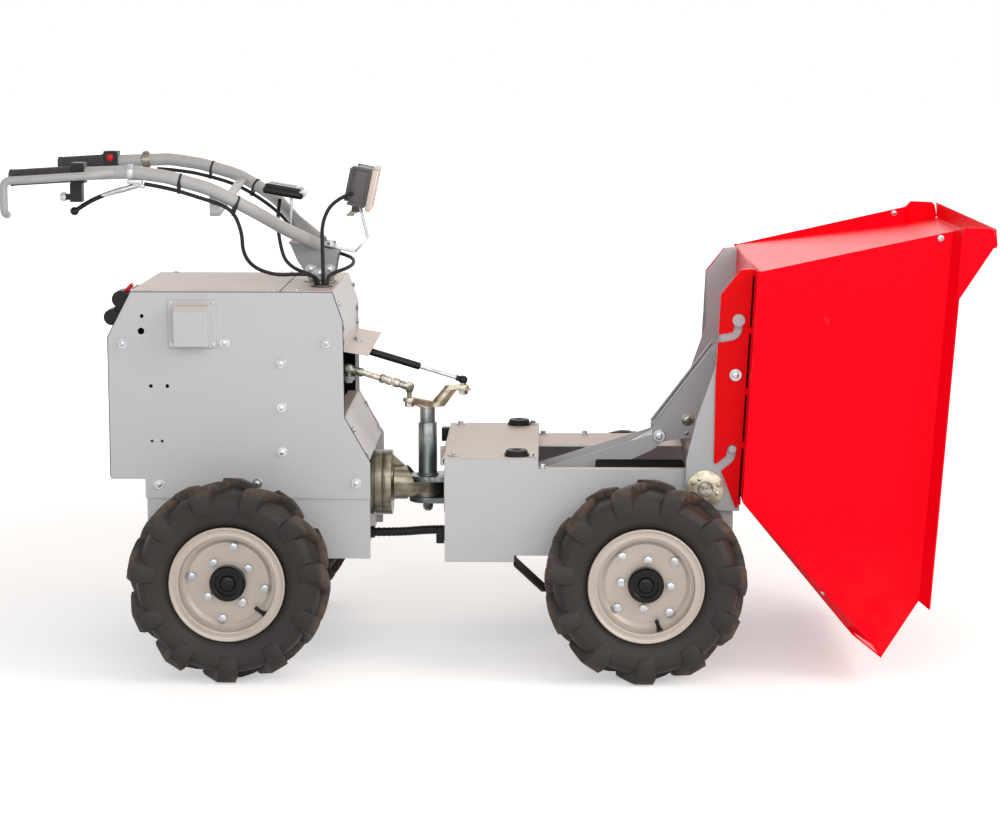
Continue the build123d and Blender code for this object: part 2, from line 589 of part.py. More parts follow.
def make_skip_rail():
    """Hooked rail, tacked under the skip's base."""
    top = SKIP_BASE_W - RAIL_GAP
    rail = [(-455, top), (-452, 43), (-400, 6), (-227, 6.5), (-56, 14), (-38, 30), (35, 63), (33, top)]
    plate = side_profile(rail, (-RAIL_PLATE[1], -RAIL_PLATE[0]))
    for u in TACK_U:
        plate += block((u - 6, u + 6), (-RAIL_PLATE[1], -RAIL_PLATE[0]), (top - 1, SKIP_BASE_W))
    return plate - hook_slot(UPPER_HOOK, UPPER_HOOK_WIDTH) - hook_slot(LOWER_HOOK, LOWER_HOOK_WIDTH)


# ---------------------------------------------------------------- tipping gear
def make_tip_frame():
    """Two side plates against the skip's rails, joined by a cross channel that carries the lever's ears."""
    plate = [(14, -40), (-56, -42), (-141, -26), (-214, -5), (-277, 13.5), (-398, 7), (-452, 44.7),
             (-455, SKIP_BASE_W), (43, SKIP_BASE_W), (44, 37), (42.5, -30)]
    side = side_profile(plate, (-TIP_PLATE[1], -TIP_PLATE[0]))
    side += pin_y(0, 0, 38.5, (-TIP_PLATE[1] - 5, -TIP_PLATE[1]))
    side -= pin_y(0, 0, TIP_PIN_RADIUS + RUNNING_CLEARANCE, (-270, -230))
    rail_face = -RAIL_PLATE[1]
    side += pin_y(*UPPER_HOOK[0], HOOK_PIN_RADIUS, (rail_face, -TIP_PLATE[1]))
    side += pin_y(*UPPER_HOOK[0], HOOK_HEAD_RADIUS, (rail_face - 5, rail_face))
    side += pin_y(*LOWER_HOOK[0], HOOK_PIN_RADIUS, (rail_face - 4, -TIP_PLATE[1]))
    frame = both_sides(side)
    channel = block(TIP_CHANNEL_U, (-TIP_PLATE[0], TIP_PLATE[0]), (TIP_CHANNEL_W, SKIP_BASE_W))
    channel -= block((TIP_CHANNEL_U[0] + 4, TIP_CHANNEL_U[1] - 4), (-TIP_PLATE[0], TIP_PLATE[0]),
                     (TIP_CHANNEL_W + 4, SKIP_BASE_W + 1))
    ear = [(-273, 16), (-258, 10), (-242, 16), (-200, 42), (-200, 60), (-272, 60)]
    return tipped(frame + channel + both_sides(side_profile(ear, (48, 54))))


def arm_place(start, end):
    """Places a link drawn along +X from the origin so that it runs from start to end."""
    slope = math.atan2(end[1] - start[1], end[0] - start[0])
    return Pos(start[0], 0, start[1]) * Rot(0, -math.degrees(slope), 0)


def make_tip_arm():
    """Two cheeks from the box to the knee, joined near the box by a web."""
    length = math.dist(ARM_PIVOT, KNEE_PIVOT)
    cheek = side_profile([(-14, -16), (0, -26), (length - 110, -36), (length - 20, -24), (length + 12, -10),
                          (length + 12, 6), (length, 8), (-14, 8)], (42, 46))
    half = cheek + pin_y(0, 0, ARM_PIN_RADIUS, (46, 70)) + pin_y(length, 0, 9, (34, 47))
    arm = both_sides(half) + block((-14, 128), (-42, 42), (4, 8))
    return arm_place(ARM_PIVOT, KNEE_PIVOT) * arm


def make_tip_lever():
    """Pair of three-pin plates: knee, actuator and tipping-frame pins."""
    low, top, rod = KNEE_PIVOT, LEVER_TOP_PIVOT, LEVER_ROD_PIVOT
    outline = [(low[0] - 15, low[1] + 16), (low[0] - 14, low[1] - 8), (low[0] + 4, low[1] - 13),
               (rod[0] + 10, rod[1] - 38), (rod[0] + 24, rod[1] - 30), (rod[0] + 26, rod[1] + 10),
               (top[0] + 13, top[1] - 6), (top[0] + 6, top[1] + 12), (top[0] - 10, top[1] + 12)]
    cheek = side_profile(outline, (36, 40)) - pin_y(*low, 9.3, (30, 50))
    half = cheek + pin_y(*rod, 8, (14, 36)) + pin_y(*top, 9, (40, 47))
    spacer = pin_y(math.dist(low, top) - 35, 0, 7, (-36, 36))
    return both_sides(half) + arm_place(low, top) * spacer


def make_actuator():
    length = math.dist(ACTUATOR_PIVOT, LEVER_ROD_PIVOT)
    place = arm_place(ACTUATOR_PIVOT, LEVER_ROD_PIVOT)
    barrel = pin_x(0, 0, 20, (28, BARREL_LENGTH)) - pin_x(0, 0, 10.3, (60, BARREL_LENGTH + 1))
    barrel += pin_y(0, 0, 14, (-12, 12)) + block((0, 30), (-12, 12), (-12, 12))
    barrel -= pin_y(0, 0, 6 + RUNNING_CLEARANCE, (-21, 21))
    rod = pin_x(0, 0, 10, (length - 340, length)) + pin_y(length, 0, 14, (-12, 12))
    return place * barrel, place * rod


# ---------------------------------------------------------------- steering and handlebar
def make_steering_head():
    """Column, its crank under the cover, and the bracket that carries both handles and the lamp."""
    cheek = side_profile([HEAD_TOP[0], (-420, 830), (-395, 792), (-345, 792), HEAD_TOP[1]], (34, 40))
    head = both_sides(cheek) + block((-398, -343), (-40, 40), (790, 796))
    head += bent_sheet(HEAD_TOP, 5, (-40, 40))
    head += pin_z(COLUMN_X, 0, COLUMN_RADIUS, (CRANK_Z[1], 792)) + pin_z(COLUMN_X, 0, 27, CRANK_Z)
    crank = bar_between((COLUMN_X, 0), ROD_REAR[:2], 26, CRANK_Z) + pin_z(*ROD_REAR[:2], 13, CRANK_Z)
    return head + crank - pin_z(*ROD_REAR[:2], 5 + RUNNING_CLEARANCE, (CRANK_Z[0] - 1, CRANK_Z[1] + 1))


HANDLE_PATH = [(-972, GRIP_HALF, 1016), (-841, GRIP_HALF, 1024), (-728, 253, 1028), (-660, 250, 1018),
               (-575, 243, 994), (-493, 214, 949), (-440, 120, 905), (-376, 46, 864)]


def make_handle(side):
    points = [(x, side * y, z) for x, y, z in HANDLE_PATH]
    return round_tube(points, HANDLE_RADIUS, eased_radii(points, HANDLE_BEND)) - make_steering_head()


def grip_point(x, side):
    """Point at x on the straight rear end of a handle tube's middle line."""
    start, end = HANDLE_PATH[0], HANDLE_PATH[1]
    rise = (end[2] - start[2]) / (end[0] - start[0])
    return x, side * GRIP_HALF, start[2] + rise * (x - start[0])


def make_grip(side):
    grip = round_tube([grip_point(-977, side), grip_point(GRIP_FRONT_X[side], side)], GRIP_RADIUS, None)
    return grip - make_handle(side)


def make_hand_guard():
    """Bar outboard of the right grip, hooked down and inboard at the rear."""
    out = -(GRIP_HALF + GUARD_OUT)
    points = [(-760, 2 - GRIP_HALF, 1027), (-806, out, 1023), (-916, out, 1016), (-981, out, 1012),
              (-981, out, 948), (-981, out + 26, 943)]
    return round_tube(points, 8, 14) - make_handle(-1)


def make_throttle_pod():
    """Thumb throttle: collar in front of the right grip, its body below and the thumb lever behind."""
    x = GRIP_FRONT_X[-1]
    middle = -GRIP_HALF
    collar = block((x, x + 26), (middle - 19, middle + 20), (1006, 1047))
    body = block((x - 4, x + 20), (middle - 12, middle + 14), (968, 1006))
    thumb = block((x - 24, x - 4), (middle - 7, middle + 7), (972, 984))
    return collar + body + thumb - make_handle(-1) - make_grip(-1)


def make_brake_lever():
    """Perch clamped under the right tube, with a ball-ended lever."""
    middle = -GRIP_HALF
    ring = round_tube([(-742, middle, 1027.4), (-722, middle, 1027.4)], 19, None)
    perch = block((-742, -706), (middle - 9, middle + 9), (996, 1014))
    line = [(-710, 1003), (-781, 984), (-818, 968), (-846, 950)]
    lever = round_tube([(x, middle, z) for x, z in line], 5, 30)
    ball = Pos(-848, middle, 949) * Sphere(9)
    return ring + perch + lever + ball - make_handle(-1)


def make_switch_pod():
    """Switch housing in front of the left grip."""
    x = GRIP_FRONT_X[1]
    return block((x, x + 31), (GRIP_HALF - 19, GRIP_HALF + 19), (1008, 1046)) - make_handle(1) - make_grip(1)


def make_display():
    """Rounded box with a low dome, tilted back on a stem from the left tube."""
    x = HANDLE_PATH[5][0]
    base = fillet(Box(88, 90, 16).edges().filter_by(Axis.Z), 14)
    dome = fillet((Pos(0, 0, 12) * Box(74, 76, 8)).edges().group_by(Axis.Z)[-1], 3.5)
    body = Pos(x + 34, 95, 966) * Rot(0, 10, 0) * (base + dome)
    stem = block((x + 40, x + 56), (98, 114), (880, 958))
    return body + stem - make_handle(1)


def make_handle_bridge():
    """Strap that ties the two tubes: upright at the right tube, slanting up to the left one."""
    near, far, low = -240, 240, 938
    strap = [(near - 2, 990), (near - 2, low + 6), (near + 4, low), (near + 9, low), (far + 4, 986),
             (far, 990), (near + 7, low + 5), (near + 3, low + 9), (near + 3, 990)]
    return end_profile(strap, (-576, -556)) - make_handle(-1) - make_handle(1)


def make_lamp():
    place = Pos(-284, 0, 985) * Rot(0, 12, 0)
    foot = block((-14, 6), (-8, 8), (-56, -42))
    body = fillet(block((-30, 18), (-55, 55), (-42, 42)).edges().filter_by(Axis.X), 8)
    bezel = fillet(block((18, 28), (-60, 60), (-47, 47)).edges().filter_by(Axis.X), 8)
    return place * (body + bezel + foot)


def make_lamp_bracket():
    walk = [(-372, 862.3), (-300, 849.1), (-276, 876), (-291, 940)]
    return bent_sheet(walk, 4, (-14, 14)) - make_lamp()


def joint_ball(place, stud):
    """Ball joint seen as a round housing with a stud below it."""
    return Pos(*place) * Sphere(8.5) + pin_z(place[0], place[1], 5, stud)


def make_steering_rod():
    """Cranked rod from the column's crank to the arm on the front chassis."""
    bend = (-292, ROD_REAR[1] + 3, 600)
    rod = round_tube([ROD_REAR, bend, ROD_FRONT], 6, 10)
    rod += joint_ball(ROD_REAR, (CRANK_Z[0] - 6, ROD_REAR[2]))
    return rod + joint_ball(ROD_FRONT, (542.3, ROD_FRONT[2]))


def make_steering_strut():
    """Centring strut between the hood and the arm's front lug."""
    middle = (-166, 0, 601)
    body = round_tube([(-292, 0, 639), middle], 8, None)
    rod = round_tube([middle, STRUT_FRONT], 4, None)
    rear = Pos(*STRUT_REAR) * Sphere(10) + pin_z(*STRUT_REAR[:2], 4, (STRUT_REAR[2], 653.4))
    front = Pos(*STRUT_FRONT) * Sphere(9) + pin_z(*STRUT_FRONT[:2], 4, (561.3, STRUT_FRONT[2]))
    return body + rod + rear + front


def make_conduits():
    """Wiring sleeve from body to body; its halves meet at a ball under the pivot pin."""
    meeting = (PIVOT_X, 0, 246)
    rear = round_tube([(FLANGE_PLATE_X + FLANGE_PLATE, 0, 240), (-210, 0, 240), meeting], CONDUIT_RADIUS, 60)
    rear += Pos(*meeting) * Sphere(CONDUIT_RADIUS)
    front = pin_x(0, meeting[2], CONDUIT_RADIUS, (PIVOT_X + CONDUIT_RADIUS + RUNNING_CLEARANCE, BOX_BACK_X))
    return rear, front


# Cables hang between the handlebar and the rubber plug in the cover, each as a list of points.
PLUG_Z = GROMMET_TOP_Z + RUNNING_CLEARANCE
CABLE_RADIUS = 4.0
LAMP_CABLE = [(-300, -61, 974), (-340, -64, 960), (-364, -76, 915), (-362, -90, 865), (-360, -103, 825),
              (-360, -103.5, PLUG_Z)]
RIGHT_LEAD = [(-705, -255, 1004), (-655, -256, 996), (-590, -252, 975), (-536, -244, 947),
              (-514, -238, 903), (-512, -226, 862), (-492, -206, 830), (-450, -174, 812), (-408, -144, 812),
              (-383, -128, 809), (-369, -119.8, 800), (-368.7, -119.6, PLUG_Z)]
LEFT_LEAD = [(-758, 253, 1007), (-700, 252, 1003), (-640, 249, 990), (-582, 243.5, 973), (-530, 228, 945),
             (-482, 193, 914), (-440, 125, 880), (-398, 76, 853), (-346, 67, 839), (-308, 35, 830),
             (-302, -18, 822), (-314, -62, 816), (-333, -90, 812), (-346, -107, 806), (-350.7, -113.2, 797),
             (-351, -113.5, PLUG_Z)]
DISPLAY_LEAD = [(-470, 95, 950), (-474, 78, 912), (-468, 44, 880), (-458, 0, 853), (-446, -44, 832),
                (-424, -78, 818), (-401, -97, 811), (-383, -105, 806), (-375, -108, 797),
                (-374.7, -108.3, PLUG_Z)]


def make_cable(name, points):
    radii = eased_radii(points, 400)
    print(name, "radii", [round(radius) for radius in radii])
    return round_tube(points, CABLE_RADIUS, radii)


def export(name, shape):
    solids = shape if isinstance(shape, list) else shape.solids()
    part = Compound(children=list(solids)) if len(solids) > 1 else solids[0]
    part.label = name
    export_step(part, f"parts/{name}.step")


def main():
    os.makedirs("parts", exist_ok=True)
    parts = {}
    for place, axle_x in (("rear", REAR_AXLE_X), ("front", FRONT_AXLE_X)):
        for name, side in (("right", -1), ("left", 1)):
            where = wheel_place(axle_x, side)
            parts[f"{place}_{name}_tyre"] = where * make_tyre()
            parts[f"{place}_{name}_rim"] = where * make_wheel()
    parts["rear_axle"] = make_axle(REAR_AXLE_X, REAR_HALF_WIDTH - SHEET)
    parts["front_axle"] = make_axle(FRONT_AXLE_X, CHASSIS_HALF_WIDTH)
    parts["rear_frame"] = make_rear_frame()
    parts["rear_panel_right"] = make_drilled_side()
    parts["rear_panel_left"] = mirrored(make_rear_side())
    parts["rear_back_panel"] = make_rear_back()
    parts["rear_top_lid"] = make_top_lid()
    parts["rear_front_cover"] = make_front_cover()
    parts["rear_front_panel"] = make_front_panel()
    parts["rear_lower_panel"] = make_lower_panel()
    parts["battery_pack"] = make_battery()
    parts["column_support"] = make_column_support()
    parts["socket_box"] = make_socket_box()
    parts["main_switch"] = make_main_switch()
    parts["pivot_flange"] = make_pivot_flange()
    parts["pivot_link"] = make_pivot_link()
    parts["front_chassis"] = make_front_chassis()
    parts["front_box_lid"] = make_box_lid()
    parts["rest_pads"] = make_pads()
    parts["front_yoke"] = make_yoke()
    parts["steering_arm"] = make_steering_arm()
    parts["steering_rod"] = make_steering_rod()
    parts["steering_strut"] = make_steering_strut()
    parts["skid_guard"] = make_skid_guard()
    parts["control_box"] = make_control_box()
    parts["rear_conduit"], parts["front_conduit"] = make_conduits()
    parts["tip_frame"] = make_tip_frame()
    parts["tip_arm"] = make_tip_arm()
    parts["tip_lever"] = make_tip_lever()
    parts["tip_actuator_barrel"], parts["tip_actuator_rod"] = make_actuator()
    parts["skip_shell"] = make_skip_shell()
    parts["skip_side_right"] = tipped(make_skip_side())
    parts["skip_side_left"] = tipped(mirrored(make_skip_side()))
    parts["skip_rail_right"] = tipped(make_skip_rail())
    parts["skip_rail_left"] = tipped(mirrored(make_skip_rail()))
    parts["steering_head"] = make_steering_head()
    for name, side in (("right", -1), ("left", 1)):
        parts[f"handle_{name}"] = make_handle(side)
        parts[f"grip_{name}"] = make_grip(side)
    parts["hand_guard"] = make_hand_guard()
    parts["throttle_pod"] = make_throttle_pod()
    parts["brake_lever"] = make_brake_lever()
    parts["switch_pod"] = make_switch_pod()
    parts["display_unit"] = make_display()
    parts["handle_bridge"] = make_handle_bridge()
    parts["work_lamp"] = make_lamp()
    parts["lamp_bracket"] = make_lamp_bracket()
    parts["lamp_cable"] = make_cable("lamp lead", LAMP_CABLE)
    leads = {"right lead": RIGHT_LEAD, "left lead": LEFT_LEAD, "display lead": DISPLAY_LEAD}
    parts["grip_cable"] = [make_cable(name, points) for name, points in leads.items()]
    for name, shape in parts.items():
        export(name, shape)


main()
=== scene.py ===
import json
import math

import bmesh
import bpy
from bpy.props import FloatProperty, FloatVectorProperty, IntProperty, PointerProperty
from mathutils import Matrix, Vector


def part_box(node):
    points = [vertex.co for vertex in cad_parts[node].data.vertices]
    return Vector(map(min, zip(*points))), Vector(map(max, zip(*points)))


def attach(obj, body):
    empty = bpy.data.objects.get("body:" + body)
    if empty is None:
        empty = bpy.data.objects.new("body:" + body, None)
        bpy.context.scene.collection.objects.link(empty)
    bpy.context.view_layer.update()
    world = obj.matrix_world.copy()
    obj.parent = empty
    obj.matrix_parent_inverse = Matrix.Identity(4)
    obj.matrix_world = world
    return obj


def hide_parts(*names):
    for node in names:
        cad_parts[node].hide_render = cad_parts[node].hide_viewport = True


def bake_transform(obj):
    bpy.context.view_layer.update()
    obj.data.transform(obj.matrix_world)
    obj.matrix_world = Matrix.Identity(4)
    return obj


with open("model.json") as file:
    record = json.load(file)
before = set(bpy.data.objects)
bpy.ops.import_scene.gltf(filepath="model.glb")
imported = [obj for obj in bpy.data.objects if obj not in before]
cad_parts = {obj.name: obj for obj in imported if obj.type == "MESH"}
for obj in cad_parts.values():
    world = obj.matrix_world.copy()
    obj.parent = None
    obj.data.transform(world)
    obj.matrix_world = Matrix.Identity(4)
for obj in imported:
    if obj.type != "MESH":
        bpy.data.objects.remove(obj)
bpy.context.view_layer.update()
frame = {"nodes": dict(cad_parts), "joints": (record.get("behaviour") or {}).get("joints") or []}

bl_info = {
    "name": "Site Dumper",
    "version": (1, 0, 0),
    "blender": (4, 5, 0),
    "location": "View3D > Sidebar > Dumper",
    "description": "Finishes, tyres, fasteners and cables of a walk-behind site dumper",
    "category": "Object",
}

MM = 0.001
RIGHT, LEFT = -1, 1
WHEELS = [(f"{end}_{name}", side) for end in ("rear", "front") for name,
          side in (("right", RIGHT), ("left", LEFT))]


def paint_colour(red, green, blue):
    """Scene colour of a paint given by its 0 to 255 display values."""
    linear = []
    for value in (red, green, blue):
        share = value / 255
        linear.append(share / 12.92 if share <= 0.04045 else ((share + 0.055) / 1.055) ** 2.4)
    return tuple(linear)


def colour_setting(name, description, red, green, blue):
    return FloatVectorProperty(name=name, description=description, subtype="COLOR", size=3, min=0, max=1,
                               default=paint_colour(red, green, blue))


def length_setting(name, description, millimetres):
    return FloatProperty(name=name, description=description, default=millimetres * MM, unit="LENGTH",
                         precision=4)


# ---------------------------------------------------------------- settings
class DumperPaints(bpy.types.PropertyGroup):
    """Colours of the dumper's finishes."""

    grey: colour_setting("Grey", "Powder coat of the housing, chassis and handlebar", 196, 197, 199)
    red: colour_setting("Red", "Powder coat of the skip", 252, 0, 26)
    rail_red: colour_setting("Rail red", "Powder coat of the skip's rails", 232, 0, 10)
    wheel: colour_setting("Wheel silver", "Paint of the wheel rims", 184, 174, 164)
    zinc: colour_setting("Zinc", "Bright zinc plate of bolts and pins", 196, 200, 204)
    yellow_zinc: colour_setting("Yellow zinc", "Yellow zinc plate of the flanges", 140, 134, 117)
    rubber: colour_setting("Tyre rubber", "Rubber of the tyres", 48, 45, 44)
    tread_dust: colour_setting("Tread dust", "Dried dust on the tread", 120, 98, 82)
    black: colour_setting("Black plastic", "Moulded switches, grips and sleeves", 26, 25, 26)
    lamp_ring: colour_setting("Lamp ring", "Front ring of the work lamp", 214, 200, 190)
    button: colour_setting("Red button", "Button and switch lever", 214, 18, 28)


class DumperTyres(bpy.types.PropertyGroup):
    """Sizes of the tyres."""

    lugs: IntProperty(name="Lugs", description="Chevron lugs on each side of a tyre", default=11, min=6,
                      max=24)
    crown: length_setting("Casing radius", "Radius of the casing between the lugs", 188)
    lug_width: length_setting("Lug width", "Width of a lug at the shoulder", 39)
    sweep: FloatProperty(name="Sweep", description="Angle that a lug sweeps round the tyre",
                         default=math.radians(13),
                         subtype="ANGLE")


class DumperFasteners(bpy.types.PropertyGroup):
    """Sizes of the bolts and washers."""

    wheel_bolt: length_setting("Wheel bolt", "Width of a wheel bolt's head across its flats", 16)
    hub_circle: length_setting("Hub circle", "Radius of the circle of the hub bolts", 50)
    rim_circle: length_setting("Rim circle", "Radius of the circle of the rim bolts", 75)
    panel_bolt: length_setting("Panel bolt", "Width of a panel bolt's head", 11)


class DumperStudio(bpy.types.PropertyGroup):
    """Camera and light."""

    lens: FloatProperty(name="Lens", description="Focal length of the camera", default=90.05, min=20,
                        max=300)
    pitch: FloatProperty(name="Pitch", description="How far the camera looks down",
                         default=math.radians(8.80),
                         subtype="ANGLE")
    yaw: FloatProperty(name="Yaw", description="How far the camera turns from square on",
                       default=math.radians(1.18),
                       subtype="ANGLE")
    distance: length_setting("Distance", "From the middle of the machine to the camera", 5291)
    height: length_setting("Height", "Height of the camera above the ground", 1312)
    shift: length_setting("Forward", "How far the camera stands ahead of the machine's middle", 115.5)
    key: FloatProperty(name="Key light", description="Power of the large soft light", default=98,
                       unit="POWER")
    fill: FloatProperty(name="Fill light", description="Power of the side lights", default=20, unit="POWER")
    sky: FloatProperty(name="Sky", description="Strength of the light from all round", default=0.32, min=0)


# ---------------------------------------------------------------- shader building
def node(tree, kind, inputs=(), **settings):
    """Adds a shader node: its settings, then its inputs by name or number, as values or joined sockets."""
    made = tree.nodes.new(kind)
    for key, value in settings.items():
        setattr(made, key, value)
    for key, value in dict(inputs).items():
        if isinstance(value, bpy.types.NodeSocket):
            tree.links.new(value, made.inputs[key])
        else:
            made.inputs[key].default_value = value
    return made


def sums(tree, operation, first, second=0.0, third=None, clamp=False):
    inputs = {0: first, 1: second}
    if third is not None:
        inputs[2] = third
    return node(tree, "ShaderNodeMath", inputs, operation=operation, use_clamp=clamp).outputs[0]


def mixed(tree, factor, first, second, blend="MIX"):
    colour = node(tree, "ShaderNodeMix", {0: factor, 6: first, 7: second}, data_type="RGBA",
                  blend_type=blend)
    return colour.outputs[2]


def ramp(tree, value, low, high, to_low=0.0, to_high=1.0):
    """Value moved from low..high to to_low..to_high, with soft ends."""
    return node(tree, "ShaderNodeMapRange", {0: value, 1: low, 2: high, 3: to_low, 4: to_high},
                interpolation_type="SMOOTHSTEP").outputs[0]


def rgba(colour):
    return (*colour, 1.0)


def effect(name, inputs, outputs, build):
    """Shader node group with named inputs and outputs; build returns the output sockets by name."""
    tree = bpy.data.node_groups.new(name, "ShaderNodeTree")
    for label, kind, default in inputs:
        socket = tree.interface.new_socket(name=label, in_out="INPUT", socket_type=kind)
        if default is not None:
            socket.default_value = default
    for label, kind in outputs:
        tree.interface.new_socket(name=label, in_out="OUTPUT", socket_type=kind)
    start = tree.nodes.new("NodeGroupInput")
    end = tree.nodes.new("NodeGroupOutput")
    for label, socket in build(tree, start.outputs).items():
        tree.links.new(socket, end.inputs[label])
    return tree


FLOAT, COLOUR, VECTOR = "NodeSocketFloat", "NodeSocketColor", "NodeSocketVector"


def noise(tree, vector, scale, detail=3.0, roughness=0.55):
    return node(tree, "ShaderNodeTexNoise", {"Vector": vector, "Scale": scale, "Detail": detail,
                                             "Roughness": roughness}).outputs["Fac"]


def build_mottle(tree, given):
    """Slow patches and fine flecks in a coat's tone."""
    patch = noise(tree, given["Vector"], given["Patch Scale"])
    fleck = noise(tree, given["Vector"], given["Fleck Scale"], 2.0)
    patch_tone = sums(tree, "MULTIPLY_ADD", sums(tree, "SUBTRACT", patch, 0.5), given["Patch Strength"],
                      1.0)
    fleck_tone = sums(tree, "MULTIPLY_ADD", sums(tree, "SUBTRACT", fleck, 0.5), given["Fleck Strength"],
                      1.0)
    tone = sums(tree, "MULTIPLY", patch_tone, fleck_tone)
    shade = node(tree, "ShaderNodeCombineColor", {0: tone, 1: tone, 2: tone}).outputs[0]
    return {"Colour": mixed(tree, 1.0, given["Colour"], shade, "MULTIPLY"), "Patch": patch}


def build_dust(tree, given):
    """Dust that settles on low parts, fading out up to the Top height."""
    place = node(tree, "ShaderNodeSeparateXYZ", {0: given["Vector"]}).outputs
    low = node(tree, "ShaderNodeMapRange", {0: place[2], 1: given["Top"], 2: given["Bottom"], 3: 0.0,
                                            4: 1.0}).outputs[0]
    cloud = noise(tree, given["Vector"], 14.0, 5.0, 0.65)
    speck = noise(tree, given["Vector"], 160.0, 2.0)
    worn = sums(tree, "MULTIPLY", ramp(tree, cloud, 0.35, 0.75),
                sums(tree, "ADD", sums(tree, "MULTIPLY", speck, 0.7), 0.55))
    mask = sums(tree, "MULTIPLY", sums(tree, "MULTIPLY", low, worn), given["Amount"], clamp=True)
    return {"Colour": mixed(tree, mask, given["Colour"], given["Dust"]), "Mask": mask}


def build_grain(tree, given):
    """Even grain of a sprayed or moulded surface, as a height."""
    coarse = noise(tree, given["Vector"], given["Scale"], 2.0, 0.5)
    fine = noise(tree, given["Vector"], sums(tree, "MULTIPLY", given["Scale"], 3.1), 1.0, 0.5)
    return {"Height": sums(tree, "MULTIPLY_ADD", fine, 0.35, coarse)}


def build_plating(tree, given):
    """Cloudy two-tone look of zinc plate, with bands along the stretch: partly the plate's own cloudiness,
    partly painted reflection bands such as run along a round part.
    """
    cloud = noise(tree, given["Vector"], given["Scale"], 4.0, 0.6)
    stretched = node(tree, "ShaderNodeMapping", {"Vector": given["Vector"],
                                                 "Scale": given["Stretch"]}).outputs[0]
    # Bands along the stretch: partly the plate's cloudiness, partly painted reflection bands.
    plate_and_reflection_bands = noise(tree, stretched, 1.0, 4.0, 0.6)
    share = ramp(tree, sums(tree, "MULTIPLY_ADD", sums(tree, "SUBTRACT", plate_and_reflection_bands, 0.5), 0.9, cloud), 0.36,
                 0.64)
    return {"Colour": mixed(tree, share, given["Colour"], given["Second"]),
            "Rough": sums(tree, "MULTIPLY_ADD", cloud, 0.22, 0.16)}


def build_scuffs(tree, given):
    """Short fine scratches running several ways."""
    total = None
    for turn in (0.35, 1.25, 2.3):
        turned = node(tree, "ShaderNodeMapping", {"Vector": given["Vector"],
                                                  "Rotation": (turn, turn * 0.7, turn),
                                                  "Scale": (6.0, 130.0, 6.0)}).outputs[0]
        line = ramp(tree, noise(tree, turned, given["Scale"], 2.0), 0.70, 0.78)
        total = line if total is None else sums(tree, "MAXIMUM", total, line)
    where = ramp(tree, noise(tree, given["Vector"], 5.0), 0.5, 0.7)
    return {"Mask": sums(tree, "MULTIPLY", sums(tree, "MULTIPLY", total, where), given["Amount"],
                         clamp=True)}


def make_effects():
    made = {}
    made["mottle"] = effect("Coat Mottle",
                            [("Vector", VECTOR, None), ("Colour", COLOUR, None),
                             ("Patch Scale", FLOAT, 4.0),
                             ("Patch Strength", FLOAT, 0.08), ("Fleck Scale", FLOAT, 300.0),
                             ("Fleck Strength", FLOAT, 0.05)],
                            [("Colour", COLOUR), ("Patch", FLOAT)], build_mottle)
    made["dust"] = effect("Road Dust",
                          [("Vector", VECTOR, None), ("Colour", COLOUR, None), ("Dust", COLOUR, None),
                           ("Bottom", FLOAT, 0.0),
                           ("Top", FLOAT, 0.5), ("Amount", FLOAT, 0.3)],
                          [("Colour", COLOUR), ("Mask", FLOAT)], build_dust)
    made["grain"] = effect("Fine Grain", [("Vector", VECTOR, None), ("Scale", FLOAT, 400.0)],
                           [("Height", FLOAT)], build_grain)
    made["plating"] = effect("Zinc Plating",
                             [("Vector", VECTOR, None), ("Colour", COLOUR, None), ("Second", COLOUR, None),
                              ("Scale", FLOAT, 30.0),
                              ("Stretch", VECTOR, None)],
                             [("Colour", COLOUR), ("Rough", FLOAT)], build_plating)
    made["scuffs"] = effect("Scuffs", [("Vector", VECTOR, None), ("Scale", FLOAT, 3.0),
                                       ("Amount", FLOAT, 0.3)],
                            [("Mask", FLOAT)], build_scuffs)
    return made


class Finish:
    """A material being built: its tree, its object coordinates and its shader."""

    def __init__(self, name, effects):
        self.material = bpy.data.materials.new(name)
        self.material.use_nodes = True
        self.tree = self.material.node_tree
        self.shader = self.tree.nodes["Principled BSDF"]
        self.effects = effects
        self.place = self.tree.nodes.new("ShaderNodeTexCoord").outputs["Object"]

    def use(self, name, **inputs):
        given = {key.replace("_", " "): value for key, value in inputs.items()}
        made = node(self.tree, "ShaderNodeGroup", node_tree=self.effects[name])
        for key, value in {"Vector": self.place, **given}.items():
            if isinstance(value, bpy.types.NodeSocket):
                self.tree.links.new(value, made.inputs[key])
            else:
                made.inputs[key].default_value = value
        return made.outputs

    def bump(self, height, distance, strength=1.0):
        made = node(self.tree, "ShaderNodeBump", {"Height": height, "Distance": distance,
                                                  "Strength": strength})
        self.tree.links.new(made.outputs[0], self.shader.inputs["Normal"])

    def set(self, **inputs):
        for key, value in inputs.items():
            socket = self.shader.inputs[key.replace("_", " ")]
            if isinstance(value, bpy.types.NodeSocket):
                self.tree.links.new(value, socket)
            else:
                socket.default_value = value


